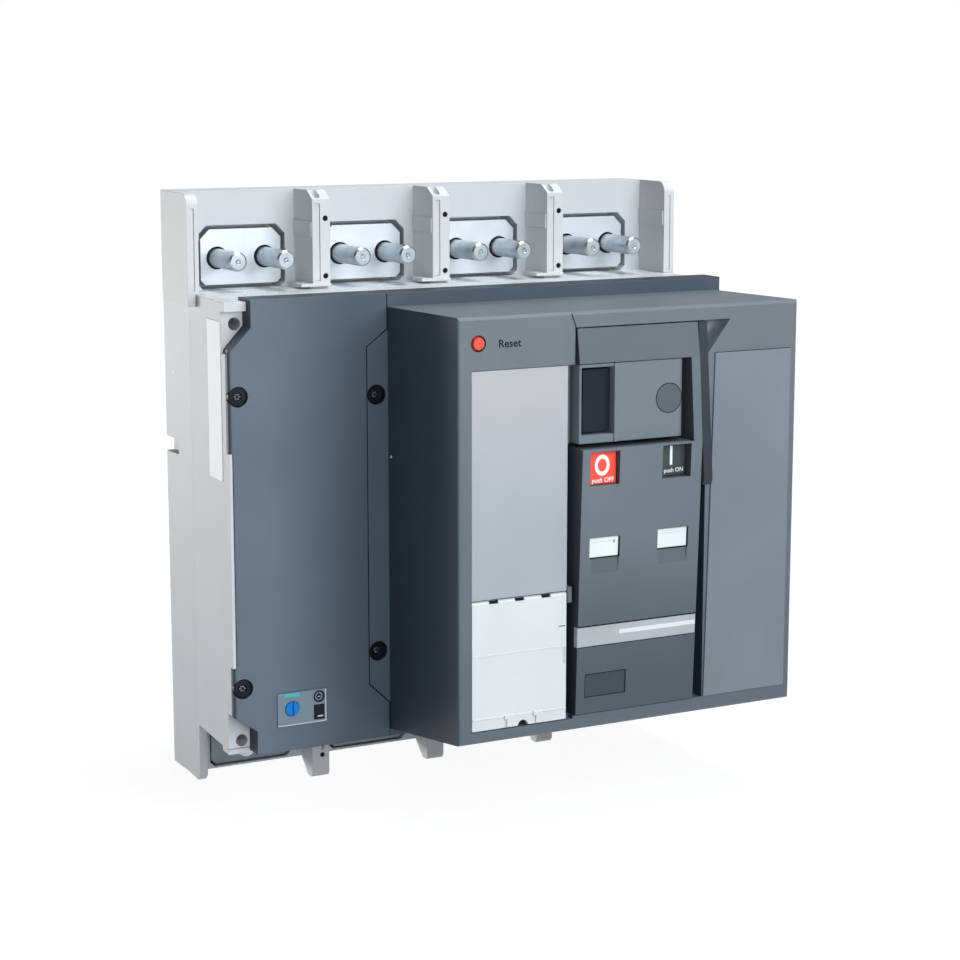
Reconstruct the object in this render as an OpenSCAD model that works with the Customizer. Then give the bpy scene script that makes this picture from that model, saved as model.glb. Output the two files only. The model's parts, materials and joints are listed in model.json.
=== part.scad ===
// Four-pole moulded case circuit breaker: fixed, front connected, with a spring-charged mechanism.
// X runs across the poles, -Y faces the operator, Z is up. The origin is the centre of the flat rear
// face that bolts to a back plate.

/* [Case] */
// Distance between the centres of two poles
pole_pitch = 70; // [62:1:84]
// Height of the moulded base
case_h = 310; // [290:1:372]
// Depth of the base, rear face to the seam with the pole chambers
base_d = 38; // [32:1:46]
// Depth from the rear face to the front of the pole chambers
body_d = 84; // [70:1:102]
// Thickness of the dark covers in front of the chambers
cover_t = 16; // [14:0.5:20]
// How much the sides lean out between the base and the front of the covers
flare = 4; // [2:0.5:6]
// Thickness of the side wall's edge beside a cover
rim_t = 1.8; // [1.2:0.2:2.4]
// Height of the open bays round the upper terminals
bay_h = 51; // [46:1:62]
// Height of the open bays below the lower terminals
low_bay_h = 30; // [27:1:36]
// How far the dark covers stand above and below the chambers
cover_lip = 1.5; // [0.5:0.5:3]

/* [Terminals] */
// Thickness of the wall behind the terminals
bay_wall = 24; // [18:1:29]
// Width of a terminal pad
pad_w = 45; // [36:1:54]
// Height of an upper terminal pad
pad_h = 29; // [24:1:35]
// Height of a lower terminal pad
low_pad_h = 26; // [22:1:27]
// Thickness of a terminal pad
pad_t = 12; // [8:1:15]
// Clearance between an upper pad and the edge of its pocket
pad_gap = 2; // [0.6:0.2:2]
// Diameter of a terminal stud
stud_dia = 10; // [8:0.5:12]
// How far a stud stands out of its pad
stud_out = 29.5; // [20:0.5:40]
// Distance between the two studs of one terminal
stud_gap = 26.6; // [21:0.2:30]
// Height of the upper studs above the floor of their bay
stud_rise = 16; // [13:0.5:20]
// Height of the lower studs above the bottom of the base
low_stud_rise = 18; // [13:0.5:20]

/* [Barriers] */
// Thickness of a phase barrier
barrier_w = 10; // [8:0.5:12]
// Depth of the upper phase barriers from the rear face
barrier_d = 48; // [44:1:60]
// Depth of the lower phase barriers from the rear face
foot_d = 39; // [34:1:48]
// How far the lower phase barriers hang below the base
foot_drop = 8.5; // [4:0.5:10]
// Thickness of the end walls of the lower bays
end_w = 4.4; // [3.6:0.2:6]
// Thickness of an end shield at its front edge
shield_w = 6.3; // [5:0.1:7]
// How far an end shield reaches in front of the seam
shield_out = 12.5; // [10:0.5:14]

/* [Fixing] */
// Diameter of the four fixing holes
fix_dia = 6.4; // [5:0.2:6.8]
// Distance from the side of the base to the axis of a fixing hole
fix_in = 3.8; // [3.8:0.1:5]
// Distance from the top of the chambers down to the upper fixing holes
fix_down = 11.2; // [10:0.2:14]
// Distance from the bottom of the chambers up to the lower fixing holes
fix_up = 4.4; // [4:0.2:8]
// Width of the ear left bare beside a cover
ear_w = 12.5; // [10:0.5:14]

/* [Facia] */
// Distance from the neutral pole's boundary to the left side of the facia
facia_in = 13; // [12:1:20]
// Depth from the rear face to the front of the facia
facia_d = 178.5; // [150:0.5:215]
// Distance from the top of the chambers down to the facia's front top edge
facia_drop = 4; // [2:0.5:8]
// Distance from the bottom of the chambers up to the facia's front bottom edge
facia_rise = 13; // [9:0.5:16]
// Width of the trip unit
trip_w = 54; // [45:1:65]
// Height of the facia left above the trip unit
trip_head = 26; // [20:1:36]
// Height of the facia left below the trip unit
trip_foot = 6; // [4:1:10]
// Height of the hinged settings cover
flap_h = 66; // [55:1:80]
// Thickness of the hinged settings cover
flap_t = 3.2; // [2.6:0.2:4]

/* [Mechanism] */
// Width of the mechanism cover
mech_w = 70; // [58:1:84]
// Height of the facia left above the mechanism cover
mech_head = 8.4; // [5:0.2:12]
// Height of the facia left below the mechanism cover
mech_foot = 8; // [5:1:12]
// Height of the plain band at the top of the mechanism cover
band_h = 17.3; // [14:0.1:21]
// Height of the lock plate's recess
lock_h = 42.3; // [35:0.1:51]
// How far the mechanism cover stands out above the push buttons
mech_bulge = 6.6; // [4:0.2:10]
// Width of a push button opening
button_w = 17; // [14:0.2:20.4]
// Travel of the OFF and ON buttons
button_travel = 3; // [2:0.5:4]
// Thickness of the charging handle
handle_w = 5.1; // [3:0.1:5.5]
// Diameter of the handle's pivot pin
pin_dia = 5; // [3:0.5:6]

/* [Hidden] */

eps = 0.01;
cut = 1;                 // how far a cutter runs past the face it opens
gap = 0.3;               // working clearance round a piece that seats in a pocket
seam = 0.5;              // dark line between two covers
poles = 4;

// Case
side = poles * pole_pitch / 2;
top = case_h / 2;
body_top = top - bay_h;              // floor of the upper bays
body_bottom = -top + low_bay_h;
cover_d = body_d + cover_t;
cover_top = body_top + cover_lip;
cover_bottom = body_bottom - cover_lip;
wall_x = side + flare - rim_t;       // inner face of the side walls' edge
cover_x = wall_x - 0.2;              // outer side of a cover between the walls
lap_d = cover_d - 4;                 // depth of the walls where a cover laps over them
lap_x = side + flare - 0.2;          // outer side of a cover's lap
lap_r = 2.5;                         // rounding of a lap's front edge
lap_z = [body_bottom + 45, body_top - 74.8];    // ends of the walls' full depth
bay_x = side - 1;                    // end of the upper bays' wall, where an end shield stands
shield_d = base_d + shield_out;
shield_z = body_top - 6;             // lower edge of an end shield
shield_rear_x = side + 0.4;          // outside of an end shield at its rear and front edges
shield_front_x = bay_x + shield_w;
shield_r = 6;

// Fixing holes and ears
fix_x = 2 * (side - fix_in);
fix_z = [body_bottom + fix_up, body_top - fix_down];
ear_d = body_d + 6;                  // depth of the ears' faces
ear_x = side + flare - ear_w;        // outer side of a cover beside an ear
ear_top = [body_top - 25.4, body_top - 12.4];           // notch of an upper ear: its two levels
ear_low = [body_bottom + 19.5, body_bottom + 11];       // and of a lower ear
ear_cap = body_top - 4.6;            // lower edge of the block over an upper ear
ear_foot = fix_z[0] - fix_dia / 2 - 0.5;             // level of the groove under a lower ear

// Terminals
pad_y = -bay_wall + 1;               // front of a pad, just inside the wall's face
pocket_y = pad_y + pad_t;            // floor of the pad's pocket
pad_z = body_top + pad_gap;          // lower edge of an upper pad
low_pad_z = -top + 2;                // lower edge of a lower pad
low_pad_gap = 1;
stud_z = body_top + stud_rise;
low_stud_z = -top + low_stud_rise;
root_step = 0.3;                     // how much thicker a stud is inside its pad

// Covers' screws, and the neutral protection selector
facia_x = -side + pole_pitch + facia_in;        // left side of the facia
facia_w = side - facia_x;
step_x = facia_x - 11.5;             // left side of the screw strip beside the facia
step_z = [body_bottom + 28, body_top - 25.5];   // ends of the strip's straight left side
step_run = [11, 8.5];                // and how far its ends slope
screw_r = 4.8;
screw_t = 2.8;
neutral_screw_x = -side + 1.2;
neutral_screw_z = [body_bottom + 34, body_top - 46.4];
strip_screw_x = step_x + 5;
strip_screw_z = [body_bottom + 45, body_top - 50];
neutral_sink = 4;                    // depth of the screws' counterbores
strip_sink = 4.8;
selector_x = [-side + 19.5, -side + 46.5];
selector_z = [body_bottom + 11.7, body_bottom + 29];
dial_x = selector_x[0] + 8.1;
dial_z = selector_z[0] + 8.8;
dial_r = 3.7;

// Facia and trip unit
facia_top = body_top - facia_drop;
facia_bottom = body_bottom + facia_rise;
facia_rear_z = [cover_bottom + 4, cover_top - 6.9];     // where it leaves the covers
ridge_z = facia_rear_z[1] - 1.2;     // lower edge of the ridge's right end
trip_x = facia_x + 7;
trip_right = trip_x + trip_w;
trip_top = facia_top - trip_head;
trip_bottom = facia_bottom + trip_foot;
trip_floor = -facia_d + 14;
flap_z = trip_bottom + flap_h;
hinge_z = flap_z - flap_t / 2;
hinge_y = -facia_d + flap_t / 2 + 0.3;
hinge_pin_r = 1;
hinge_lug = 4;                       // half height of the web left round the hinge
reset_x = facia_x + 10.8;
reset_z = facia_top - 12.8;
reset_r = 3.4;

// Mechanism
mech_x = trip_right + 4.5;           // left side of the mechanism cover
mech_right = mech_x + mech_w;
mech_top = facia_top - mech_head;
mech_bottom = facia_bottom + mech_foot;
mech_back = -facia_d + 19;           // floor of the mechanism bay
bay_gap = 2;                         // dark gap left of the mechanism cover
slot_x = mech_right + 6.3;           // right wall of the handle's slot
slot_back = -facia_d + 28;           // floor of the handle's slot
band_z = mech_top - band_h;          // lower edge of the plain band
ledge_z = band_z - lock_h;           // upper edge of the push button face
pivot_y = -facia_d + 7;
pivot_z = ledge_z - 15;
off_x = [mech_x + 4.6, mech_x + 4.6 + button_w];
on_x = [mech_right - 6.4 - button_w, mech_right - 6.4];
off_z = [ledge_z - 18.5, ledge_z - 1.5];
on_z = [ledge_z - 18, ledge_z - 1];
button_floor = mech_back - 1;
window_floor = -facia_d + 1;
state_x = [mech_x + 5.4, mech_x + 23];
state_z = [ledge_z - 55.7, ledge_z - 45];
spring_x = [mech_right - 24.8, mech_right - 6.5];
spring_z = [ledge_z - 54.6, ledge_z - 44];
sill_h = 7.5;                        // height of the ramp below a window
sill_t = 1;                          // and its depth at the window
stripe_z = [mech_bottom + 35, mech_bottom + 45.4];
counter_x = [mech_x + 5, mech_x + 28.8];
counter_z = [mech_bottom + 8.5, mech_bottom + 20.5];
lock_right = mech_right - 8.6;
lock_z = [ledge_z + 2.6, band_z - 0.4];
lock_y = -facia_d - 2.6;
lock_win_x = [mech_x + 1.2, mech_x + 19.8];
lock_rail = 2;                       // width of the raised rail beside the window
cap_x = mech_x + mech_w * 0.5 + 17;
cap_z = band_z - 19.9;
cap_r = 7.5;

// Side panel and the hollow beside the handle's tip
panel_x = [slot_x + 0.7, side - 4.3];
panel_z = [mech_bottom, mech_top - 16.4];
panel_lean = 4;                      // how far the panel's left edge leans in
scoop_r = 9.5;
scoop_out = 4.2;                     // distance from the facia's face out to the hollow's axis

light_grey = "#c9cccd";
slate = "#4a545e";
slate_light = "#6d767e";
silver = "#b9bec5";

function pole_x(n) = (n - (poles - 1) / 2) * pole_pitch;
function barrier_x(n) = (n - (poles - 2) / 2) * pole_pitch;
// How far the mechanism cover's face stands out of the facia at a level
function bulge(z) = z > band_z ? 0.3 + (mech_top - z) / (mech_top - band_z) * 2.7
    : z > ledge_z ? 3 + (band_z - z) / (band_z - ledge_z) * (mech_bulge - 3)
    : 1 + (z - mech_bottom) / (ledge_z - mech_bottom) * (mech_bulge - 1);

// Half the width of the case at a depth: straight beside the base, leaning out in front of it
function half_w(d) = side + flare * max(0, d - base_d) / (cover_d - base_d);

// A box from its lowest and highest values on each axis
module span(x, y, z) {
    translate([x[0], y[0], z[0]]) cube([x[1] - x[0], y[1] - y[0], z[1] - z[0]]);
}

// An X-Z outline made thick from the plane y towards the front
module slab(y, thick) {
    translate([0, y, 0]) rotate([90, 0, 0]) linear_extrude(thick) children();
}

// A Y-Z outline made thick from the plane x towards +X
module profile(x, thick) {
    translate([x, 0, 0]) rotate([90, 0, 90]) linear_extrude(thick) children();
}

// A cylinder along Y, from the plane y towards the front
module bar_y(x, y, z, r, length) {
    translate([x, y, z]) rotate([90, 0, 0]) cylinder(r = r, h = length, $fn = 48);
}

// A cylinder along X, centred on x
module bar_x(x, y, z, r, length) {
    translate([x - length / 2, y, z]) rotate([0, 90, 0]) cylinder(r = r, h = length, $fn = 48);
}

// The four fixing holes, through everything
module fixing_bores() {
    for (s = [-1, 1], z = fix_z) bar_y(s * fix_x / 2, cut, z, fix_dia / 2, cover_d + 2 * cut);
}

// The outline of a pad with its corners cut off
module pad_outline(x, z, height, grow) {
    w = pad_w / 2 + grow;
    c = 5;
    foot_c = 2.5;
    low_z = z - grow;
    top_z = z + height + grow;
    polygon([[x - w + foot_c, low_z], [x + w - foot_c, low_z], [x + w, low_z + foot_c],
             [x + w, top_z - c], [x + w - c, top_z], [x - w + c, top_z], [x - w, top_z - c],
             [x - w, low_z + foot_c]]);
}

// Cutter that rounds a vertical front edge at x and y over the levels z; s is the side it faces
module edge_round(s, x, y, r, z) {
    translate([x, y, z[0]]) difference() {
        span([s > 0 ? -r : -cut, s > 0 ? cut : r], [-cut, r], [0, z[1] - z[0]]);
        translate([-s * r, r, -cut]) cylinder(r = r, h = z[1] - z[0] + 2 * cut, $fn = 48);
    }
}

// --- Moulded case -------------------------------------------------------------------------------

// Light base: block behind the chambers, walls behind the terminals, lower end walls
module rear_base() {
    color(light_grey) difference() {
        union() {
            span([-side, side], [-base_d, 0], [body_bottom, shield_z]);
            span([-bay_x, bay_x], [-base_d, 0], [shield_z - cut, body_top]);
            span([-bay_x, bay_x], [-bay_wall, 0], [body_top - cut, top]);
            span([-side, side], [-bay_wall, 0], [-top, body_bottom + cut]);
            for (s = [-1, 1]) end_wall(s);
        }
        for (n = [0 : poles - 1]) {
            slab(pocket_y, bay_wall) pad_outline(pole_x(n), pad_z, pad_h, pad_gap);
            slab(pocket_y, bay_wall) pad_outline(pole_x(n), low_pad_z, low_pad_h, low_pad_gap);
        }
        for (s = [-1, 1]) translate([s * side, 0, body_top - 83]) span([-4, 4], [-18, cut], [-4, 4]);
        fixing_bores();
    }
}

// Lower end wall, with its outer bottom edge cut off
module end_wall(s) {
    profile(s > 0 ? side - end_w : -side, end_w)
        polygon([[-bay_wall + cut, -top], [-foot_d + 3, -top - 1], [-foot_d, -top + 2],
                 [-foot_d, body_bottom], [-bay_wall + cut, body_bottom]]);
}

// Light chambers of the four poles: one leaning block with the covers' seat cut into its front, so that
// side walls, ears and the blocks over and under the ears are left standing beside the covers
module pole_chambers() {
    far = side + flare + cut;
    foot_z = body_bottom - 2.5;
    color(light_grey) difference() {
        translate([0, 0, foot_z]) linear_extrude(body_top - foot_z)
            polygon([[-side, -base_d], [side, -base_d], [half_w(cover_d - 0.5), -cover_d + 0.5],
                     [-half_w(cover_d - 0.5), -cover_d + 0.5]]);
        cover_seat();
        for (z = [[ear_low[0], lap_z[0]], [lap_z[1], ear_top[0]]])
            span([-far, far], [-cover_d, -lap_d], z);
        for (z = [[foot_z - cut, ear_low[0] + eps], [ear_top[0] - eps, ear_cap]])
            span([-far, far], [-cover_d, -ear_d], z);
        span([-far, far], [-ear_d - cut, -ear_d + 1], [ear_foot - 0.6, ear_foot]);
        span([-far, 0], [-cover_d, -cover_d + 5], [ear_cap - eps, body_top + cut]);
        span([0, far], [-cover_d, -body_d], [ridge_z, body_top + cut]);
        span([-far, far], [-body_d + 4, -base_d + cut], [foot_z - cut, body_bottom]);
        span([-ear_x - gap, ear_x + gap], [-cover_d, -base_d + cut], [foot_z - cut, body_bottom]);
        fixing_bores();
    }
}

// Where the seat's slanted corner meets the inner face of a side wall
function seat_z(notch, clear) = notch[0] + clear + (notch[1] - notch[0]) * (rim_t - gap) / (ear_w - 2 * gap);

// Seat of the covers: as wide as the side walls allow, and narrower beside the ears
module cover_seat() {
    low = seat_z(ear_low, -gap);
    high = seat_z(ear_top, gap);
    x = ear_x + gap;
    slab(-body_d, cover_t)
        polygon([[-x, body_bottom - cut], [x, body_bottom - cut], [x, ear_low[1] - gap], [wall_x, low],
                 [wall_x, high], [x, ear_top[1] + gap], [x, body_top + cut], [-x, body_top + cut],
                 [-x, ear_top[1] + gap], [-wall_x, high], [-wall_x, low], [-x, ear_low[1] - gap]]);
}

// Cutter that rounds the top front corner of an end shield
module shield_corner() {
    profile(-side - flare - 10, 2 * (side + flare + 10)) difference() {
        polygon([[-shield_d - cut, top - shield_r], [-shield_d + shield_r, top - shield_r],
                 [-shield_d + shield_r, top + cut], [-shield_d - cut, top + cut]]);
        translate([-shield_d + shield_r, top - shield_r]) circle(r = shield_r, $fn = 64);
    }
}

// End shield beside the outer bays: its outside leans out and hangs over the chambers' side, with a
// groove down its front edge and a band across its inside
module end_shield(s) {
    skirt_x = half_w(shield_d) + 0.2;
    color(light_grey) difference() {
        union() {
            translate([0, 0, shield_z]) linear_extrude(top - shield_z)
                polygon([[s * bay_x, 0], [s * shield_rear_x, 0], [s * shield_front_x, -shield_d],
                         [s * bay_x, -shield_d]]);
            translate([s * bay_x, 0, 0])
                span([-0.6, 0.6], [-shield_d + 1, -bay_wall], [top - 24, top - 16]);
        }
        shield_corner();
        span(s > 0 ? [bay_x - cut, skirt_x] : [-skirt_x, -bay_x + cut], [-shield_d - cut, -base_d],
             [shield_z - cut, body_top + 0.2]);
        translate([s * (bay_x + shield_front_x) / 2, 0, 0])
            span([-0.9, 0.9], [-shield_d - cut, -shield_d + 1.5], [body_top + 2, top - shield_r - 1.5]);
    }
}

module end_shield_left() { end_shield(-1); }
module end_shield_right() { end_shield(1); }

// Upper phase barrier: a leaf and a thicker plate with a channel between them, a side band, two blind
// holes, a slot in its bevelled head and a foot held off the floor
module phase_barrier(n) {
    x = barrier_x(n);
    half = barrier_w / 2;
    bevel = [7, 4.5];
    color(light_grey) difference() {
        union() {
            profile(x - half, barrier_w)
                polygon([[-bay_wall, body_top], [-barrier_d, body_top], [-barrier_d, top - bevel[1]],
                         [-barrier_d + bevel[0], top], [-bay_wall, top]]);
            span([x - half - 0.6, x + half + 0.6], [-barrier_d + 1, -bay_wall], [top - 24, top - 16]);
            span([x - half - 7, x + half], [-barrier_d - 1, -barrier_d + 12], [body_top + 1.2, body_top + 2.8]);
        }
        span([x - half + 1.4, x - half + 4.4], [-barrier_d - cut, -barrier_d + 2.2], [body_top + 4, top - 6.8]);
        for (z = [body_top + 6.5, top - 14.5]) bar_y(x + half - 2.6, -barrier_d + 4, z, 1.5, 4 + cut);
        for (y = [2.6, 6]) translate([x - 1.6, -barrier_d + y, top - 5]) cylinder(r = 1.7, h = 5 + cut, $fn = 32);
        span([x - 3.3, x + 0.1], [-barrier_d + 2.6, -barrier_d + 6], [top - 5, top + cut]);
        span([x - half - cut, x + half + cut], [-barrier_d - cut, -barrier_d + 3], [body_top - cut, body_top + 1.2]);
    }
}

module phase_barrier_1() { phase_barrier(0); }
module phase_barrier_2() { phase_barrier(1); }
module phase_barrier_3() { phase_barrier(2); }

// Lower phase barrier: a foot with rounded lower corners
module lower_barrier(n) {
    x = barrier_x(n);
    low = -top - foot_drop;
    color(light_grey) difference() {
        profile(x - barrier_w / 2, barrier_w)
            polygon([[-bay_wall, body_bottom], [-bay_wall, -top], [-foot_d + 6, low],
                     [-foot_d + 1.5, low], [-foot_d, low + 2], [-foot_d, body_bottom]]);
        bar_y(x + 1, -foot_d + 4, low + 12, 1.4, 4 + cut);
        span([x + 0.2, x + 1.8], [-foot_d - cut, -foot_d + 2], [low + 15, body_bottom - 4]);
    }
}

module lower_barrier_1() { lower_barrier(0); }
module lower_barrier_2() { lower_barrier(1); }
module lower_barrier_3() { lower_barrier(2); }

// --- Terminals ----------------------------------------------------------------------------------

// A row of pads, one in each pole, each bored for its two studs
module pads(z, height, studs_z) {
    color("#dfe6ec") for (n = [0 : poles - 1]) difference() {
        slab(pocket_y, pad_t) pad_outline(pole_x(n), z, height, 0);
        for (s = [-1, 1])
            bar_y(pole_x(n) + s * stud_gap / 2, pocket_y + cut, studs_z, stud_dia / 2 + root_step + gap, pad_t + 2 * cut);
    }
}

module upper_pads() { pads(pad_z, pad_h, stud_z); }
module lower_pads() { pads(low_pad_z, low_pad_h, low_stud_z); }

// A row of studs, two in each pole: a root in the pad, a chamfered tip and a centre mark
module studs(z) {
    r = stud_dia / 2;
    tip = pad_t + stud_out;
    color("#b6bfc4") for (n = [0 : poles - 1], s = [-1, 1])
        translate([pole_x(n) + s * stud_gap / 2, pocket_y, z]) rotate([90, 0, 0]) difference() {
            union() {
                cylinder(r = r + root_step, h = pad_t, $fn = 48);
                cylinder(r = r, h = tip - 1, $fn = 48);
                translate([0, 0, tip - 1]) cylinder(r1 = r, r2 = r - 1, h = 1, $fn = 48);
            }
            translate([0, 0, tip - 1.2]) cylinder(r1 = 0.4, r2 = 1.4, h = 1.2 + eps, $fn = 32);
        }
}

module upper_studs() { studs(stud_z); }
module lower_studs() { studs(low_stud_z); }

// --- Dark covers --------------------------------------------------------------------------------

// Cuts an ear's notch out of a cover: its slanted part lies between the two levels of notch
module ear_notch(s, notch, end) {
    slab(-body_d + cut, cover_d)
        polygon([[s * (side + flare + cut), notch[0]], [s * (side + flare), notch[0]], [s * ear_x, notch[1]],
                 [s * ear_x, end], [s * (side + flare + cut), end]]);
}

// Part of a cover that laps over the edge of a side wall
module cover_lap(s, y, z) {
    span(s > 0 ? [cover_x - cut, lap_x] : [-lap_x, -cover_x + cut], [-cover_d, y], z);
}

// Cover of the neutral pole, left of the facia
module neutral_cover() {
    x = facia_x - seam;
    dz = 0.4;
    color(slate) difference() {
        union() {
            slab(-body_d, cover_t)
                polygon([[-cover_x, cover_bottom], [x, cover_bottom], [x, step_z[0] - step_run[0] - dz],
                         [step_x - seam, step_z[0] - dz], [step_x - seam, step_z[1] + dz],
                         [x, step_z[1] + step_run[1] + dz], [x, cover_top], [-cover_x, cover_top]]);
            cover_lap(-1, -lap_d - 0.2, [ear_low[1], lap_z[0]]);
            cover_lap(-1, -lap_d - 0.2, [lap_z[1], ear_top[1]]);
        }
        ear_notch(-1, ear_top, cover_top + cut);
        ear_notch(-1, ear_low, cover_bottom - cut);
        edge_round(-1, -lap_x, -cover_d, lap_r, [ear_low[1] - cut, lap_z[0]]);
        edge_round(-1, -lap_x, -cover_d, lap_r, [lap_z[1], ear_top[1] + cut]);
        for (z = neutral_screw_z) bar_y(neutral_screw_x, -cover_d + neutral_sink, z, screw_r + 0.4, neutral_sink + cut);
        slab(-cover_d + 1, 2) selector_outline(0.2);
        bar_y(dial_x, -cover_d + 8, dial_z, dial_r + gap, 8);
    }
}

// Cover of the three main poles, with the screw strip left of the facia and a ridge above it
module three_pole_cover() {
    color(slate) difference() {
        union() {
            slab(-body_d, cover_t)
                polygon([[facia_x, cover_bottom], [cover_x, cover_bottom], [cover_x, cover_top],
                         [facia_x, cover_top], [facia_x, step_z[1] + step_run[1]], [step_x, step_z[1]],
                         [step_x, step_z[0]], [facia_x, step_z[0] - step_run[0]]]);
            cover_lap(1, -lap_d - 0.2, [ear_low[1], lap_z[0]]);
            cover_lap(1, -lap_d - 0.2, [lap_z[1], ear_top[1]]);
            cover_lap(1, -body_d, [ridge_z, cover_top]);
        }
        ear_notch(1, ear_top, ridge_z);
        ear_notch(1, ear_low, cover_bottom - cut);
        edge_round(1, lap_x, -cover_d, lap_r, [ear_low[1] - cut, lap_z[0]]);
        edge_round(1, lap_x, -cover_d, lap_r, [lap_z[1], ear_top[1] + cut]);
        for (z = strip_screw_z) bar_y(strip_screw_x, -cover_d + strip_sink, z, screw_r + 0.4, strip_sink + cut);
    }
}

// Recessed screws of the covers, each with a plain drive socket
module cover_screws() {
    color("#15171a") {
        for (z = neutral_screw_z) cover_screw(neutral_screw_x, -cover_d + neutral_sink, z);
        for (z = strip_screw_z) cover_screw(strip_screw_x, -cover_d + strip_sink, z);
    }
}

module cover_screw(x, y, z) {
    difference() {
        bar_y(x, y, z, screw_r, screw_t);
        translate([0, -eps, 0]) bar_y(x, y - screw_t + 1.6, z, 2, 1.6);
    }
}

module selector_outline(grow) {
    polygon([[selector_x[0] - grow, selector_z[0] - grow], [selector_x[1] + grow, selector_z[0] - grow],
             [selector_x[1] + grow, selector_z[1] + grow], [selector_x[0] - grow, selector_z[1] + grow]]);
}

// Plate of the neutral protection selector
module selector_plate() {
    color("#9aa0a6") difference() {
        slab(-cover_d + 1, 1.4) selector_outline(0);
        bar_y(dial_x, -cover_d + 2, dial_z, dial_r + gap, 4);
        slab(-cover_d, 1) translate([selector_x[1] - 7, selector_z[0] + 1.3]) square([6, 8]);
        bar_y(selector_x[1] - 4, -cover_d, selector_z[1] - 3.8, 3.2, 1);
    }
}

// Slotted dial of the selector
module selector_dial() {
    color("#0a7fd0") difference() {
        bar_y(dial_x, -cover_d + 7.7, dial_z, dial_r, 8.7);
        span([dial_x - 0.6, dial_x + 0.6], [-cover_d - 2, -cover_d], [dial_z - dial_r - cut, dial_z + dial_r + cut]);
    }
}

// Blank label on the leaning left side
module side_label() {
    d = [ear_d - 21.5, ear_d - 0.5];
    film = 0.4;
    color("white") translate([0, 0, body_top - 90]) linear_extrude(80)
        polygon([[-half_w(d[0]), -d[0]], [-half_w(d[1]), -d[1]],
                 [-half_w(d[1]) - film, -d[1]], [-half_w(d[0]) - film, -d[0]]]);
}

// --- Facia --------------------------------------------------------------------------------------

// Moulded facia: a solid of its side outline with bays for the trip unit, mechanism and panel
module facia() {
    color(slate) difference() {
        profile(facia_x, facia_w)
            polygon([[-cover_d, facia_rear_z[0]], [-cover_d, facia_rear_z[1]], [-facia_d + 1.5, facia_top],
                     [-facia_d, facia_top - 1.5], [-facia_d, facia_bottom + 1.5], [-facia_d + 1.5, facia_bottom]]);
        edge_round(-1, facia_x, -facia_d, 1.5, [facia_bottom - cut, facia_top + cut]);
        edge_round(1, side, -facia_d, 1.5, [facia_bottom - cut, facia_top + cut]);
        span([trip_x, trip_right], [-facia_d - cut, trip_floor], [trip_bottom, trip_top]);
        bar_x(trip_x + trip_w / 2, hinge_y, hinge_z, hinge_pin_r + 0.2, trip_w + 3);
        web_recess();
        span([mech_x - bay_gap + 1, slot_x], [-facia_d - cut, mech_back], [ledge_z + 2, mech_top + 0.6]);
        span([mech_x - bay_gap, slot_x], [-facia_d - cut, mech_back], [mech_bottom - 0.5, ledge_z + 2 + eps]);
        span([mech_right, slot_x], [-facia_d - cut, slot_back], [mech_bottom - 0.5, mech_top + 0.6]);
        bar_x(slot_x, pivot_y, pivot_z, pin_dia / 2 + 0.1, 6.2);
        bar_y(reset_x, -facia_d + 14, reset_z, reset_r + gap, 15);
        slab(-facia_d + 2.2, 4) panel_outline(0.2);
        finger_scoop();
        crease();
    }
}

// The web between the trip unit and the mechanism lies back, except round the hinge of the cover
module web_recess() {
    for (z = [[trip_bottom, hinge_z - hinge_lug], [hinge_z + hinge_lug, trip_top]])
        span([trip_right - eps, mech_x - bay_gap + 1 + eps], [-facia_d - cut, -facia_d + 5], z);
}

// Fine line from the mechanism cover's corner to the facia's top edge
module crease() {
    slab(-facia_d + 0.8, 2)
        polygon([[mech_x - 4.4, facia_top + cut], [mech_x - 3.6, facia_top + cut],
                 [mech_x, mech_top], [mech_x - 0.8, mech_top]]);
}

// Hollow beside the handle's tip, for a finger: a slanting trough that runs out in the facia's face
module finger_scoop() {
    reach = sqrt(scoop_r * scoop_r - scoop_out * scoop_out);
    intersection() {
        translate([slot_x, -facia_d - scoop_out, mech_top - 17]) rotate([0, 38, 0])
            translate([-reach, 0, -20]) cylinder(r = scoop_r, h = 60, $fn = 64);
        span([slot_x - eps, slot_x + 20], [-facia_d - cut, -facia_d + 12], [mech_top - 24, mech_top + 0.6]);
    }
}

// Fixed upper face of the trip unit
module trip_unit() {
    color(silver) span([trip_x + gap, trip_right - gap], [-facia_d + 0.4, trip_floor],
                       [flap_z + 0.6, trip_top - gap]);
}

// Panel behind the settings cover, with its adjusting dials
module settings_panel() {
    color(slate_light) union() {
        span([trip_x + gap, trip_right - gap], [trip_floor - 6, trip_floor], [trip_bottom + gap, flap_z - 0.6]);
        for (i = [0 : 2], j = [0 : 1])
            bar_y(trip_x + 11 + i * 16, trip_floor - 6 + eps, flap_z - 18 - j * 24, 5, 2.2);
    }
}

// Hinged settings cover: round hinge edge, seal lugs and a finger notch at its lower edge
module settings_cover() {
    x0 = trip_x + 0.4;
    w = trip_w - 0.8;
    color("#d5dae1", 0.8) difference() {
        union() {
            span([x0, x0 + w], [hinge_y - flap_t / 2, hinge_y + flap_t / 2], [trip_bottom + 0.5, hinge_z]);
            bar_x(trip_x + trip_w / 2, hinge_y, hinge_z, flap_t / 2, w);
            bar_x(trip_x + trip_w / 2, hinge_y, hinge_z, hinge_pin_r, trip_w + 2.4);
            for (x = [20.5, 37]) seal_lug(trip_x + x);
        }
        bar_y(trip_x + 29, hinge_y + 4, trip_bottom + 0.5, 2.8, 8);
        for (x = [12.5, 27, 42]) span([trip_x + x - 2.6, trip_x + x + 2.6],
            [hinge_y - 4, hinge_y - 0.6], [hinge_z - 0.2, hinge_z + 4]);
    }
}

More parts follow.
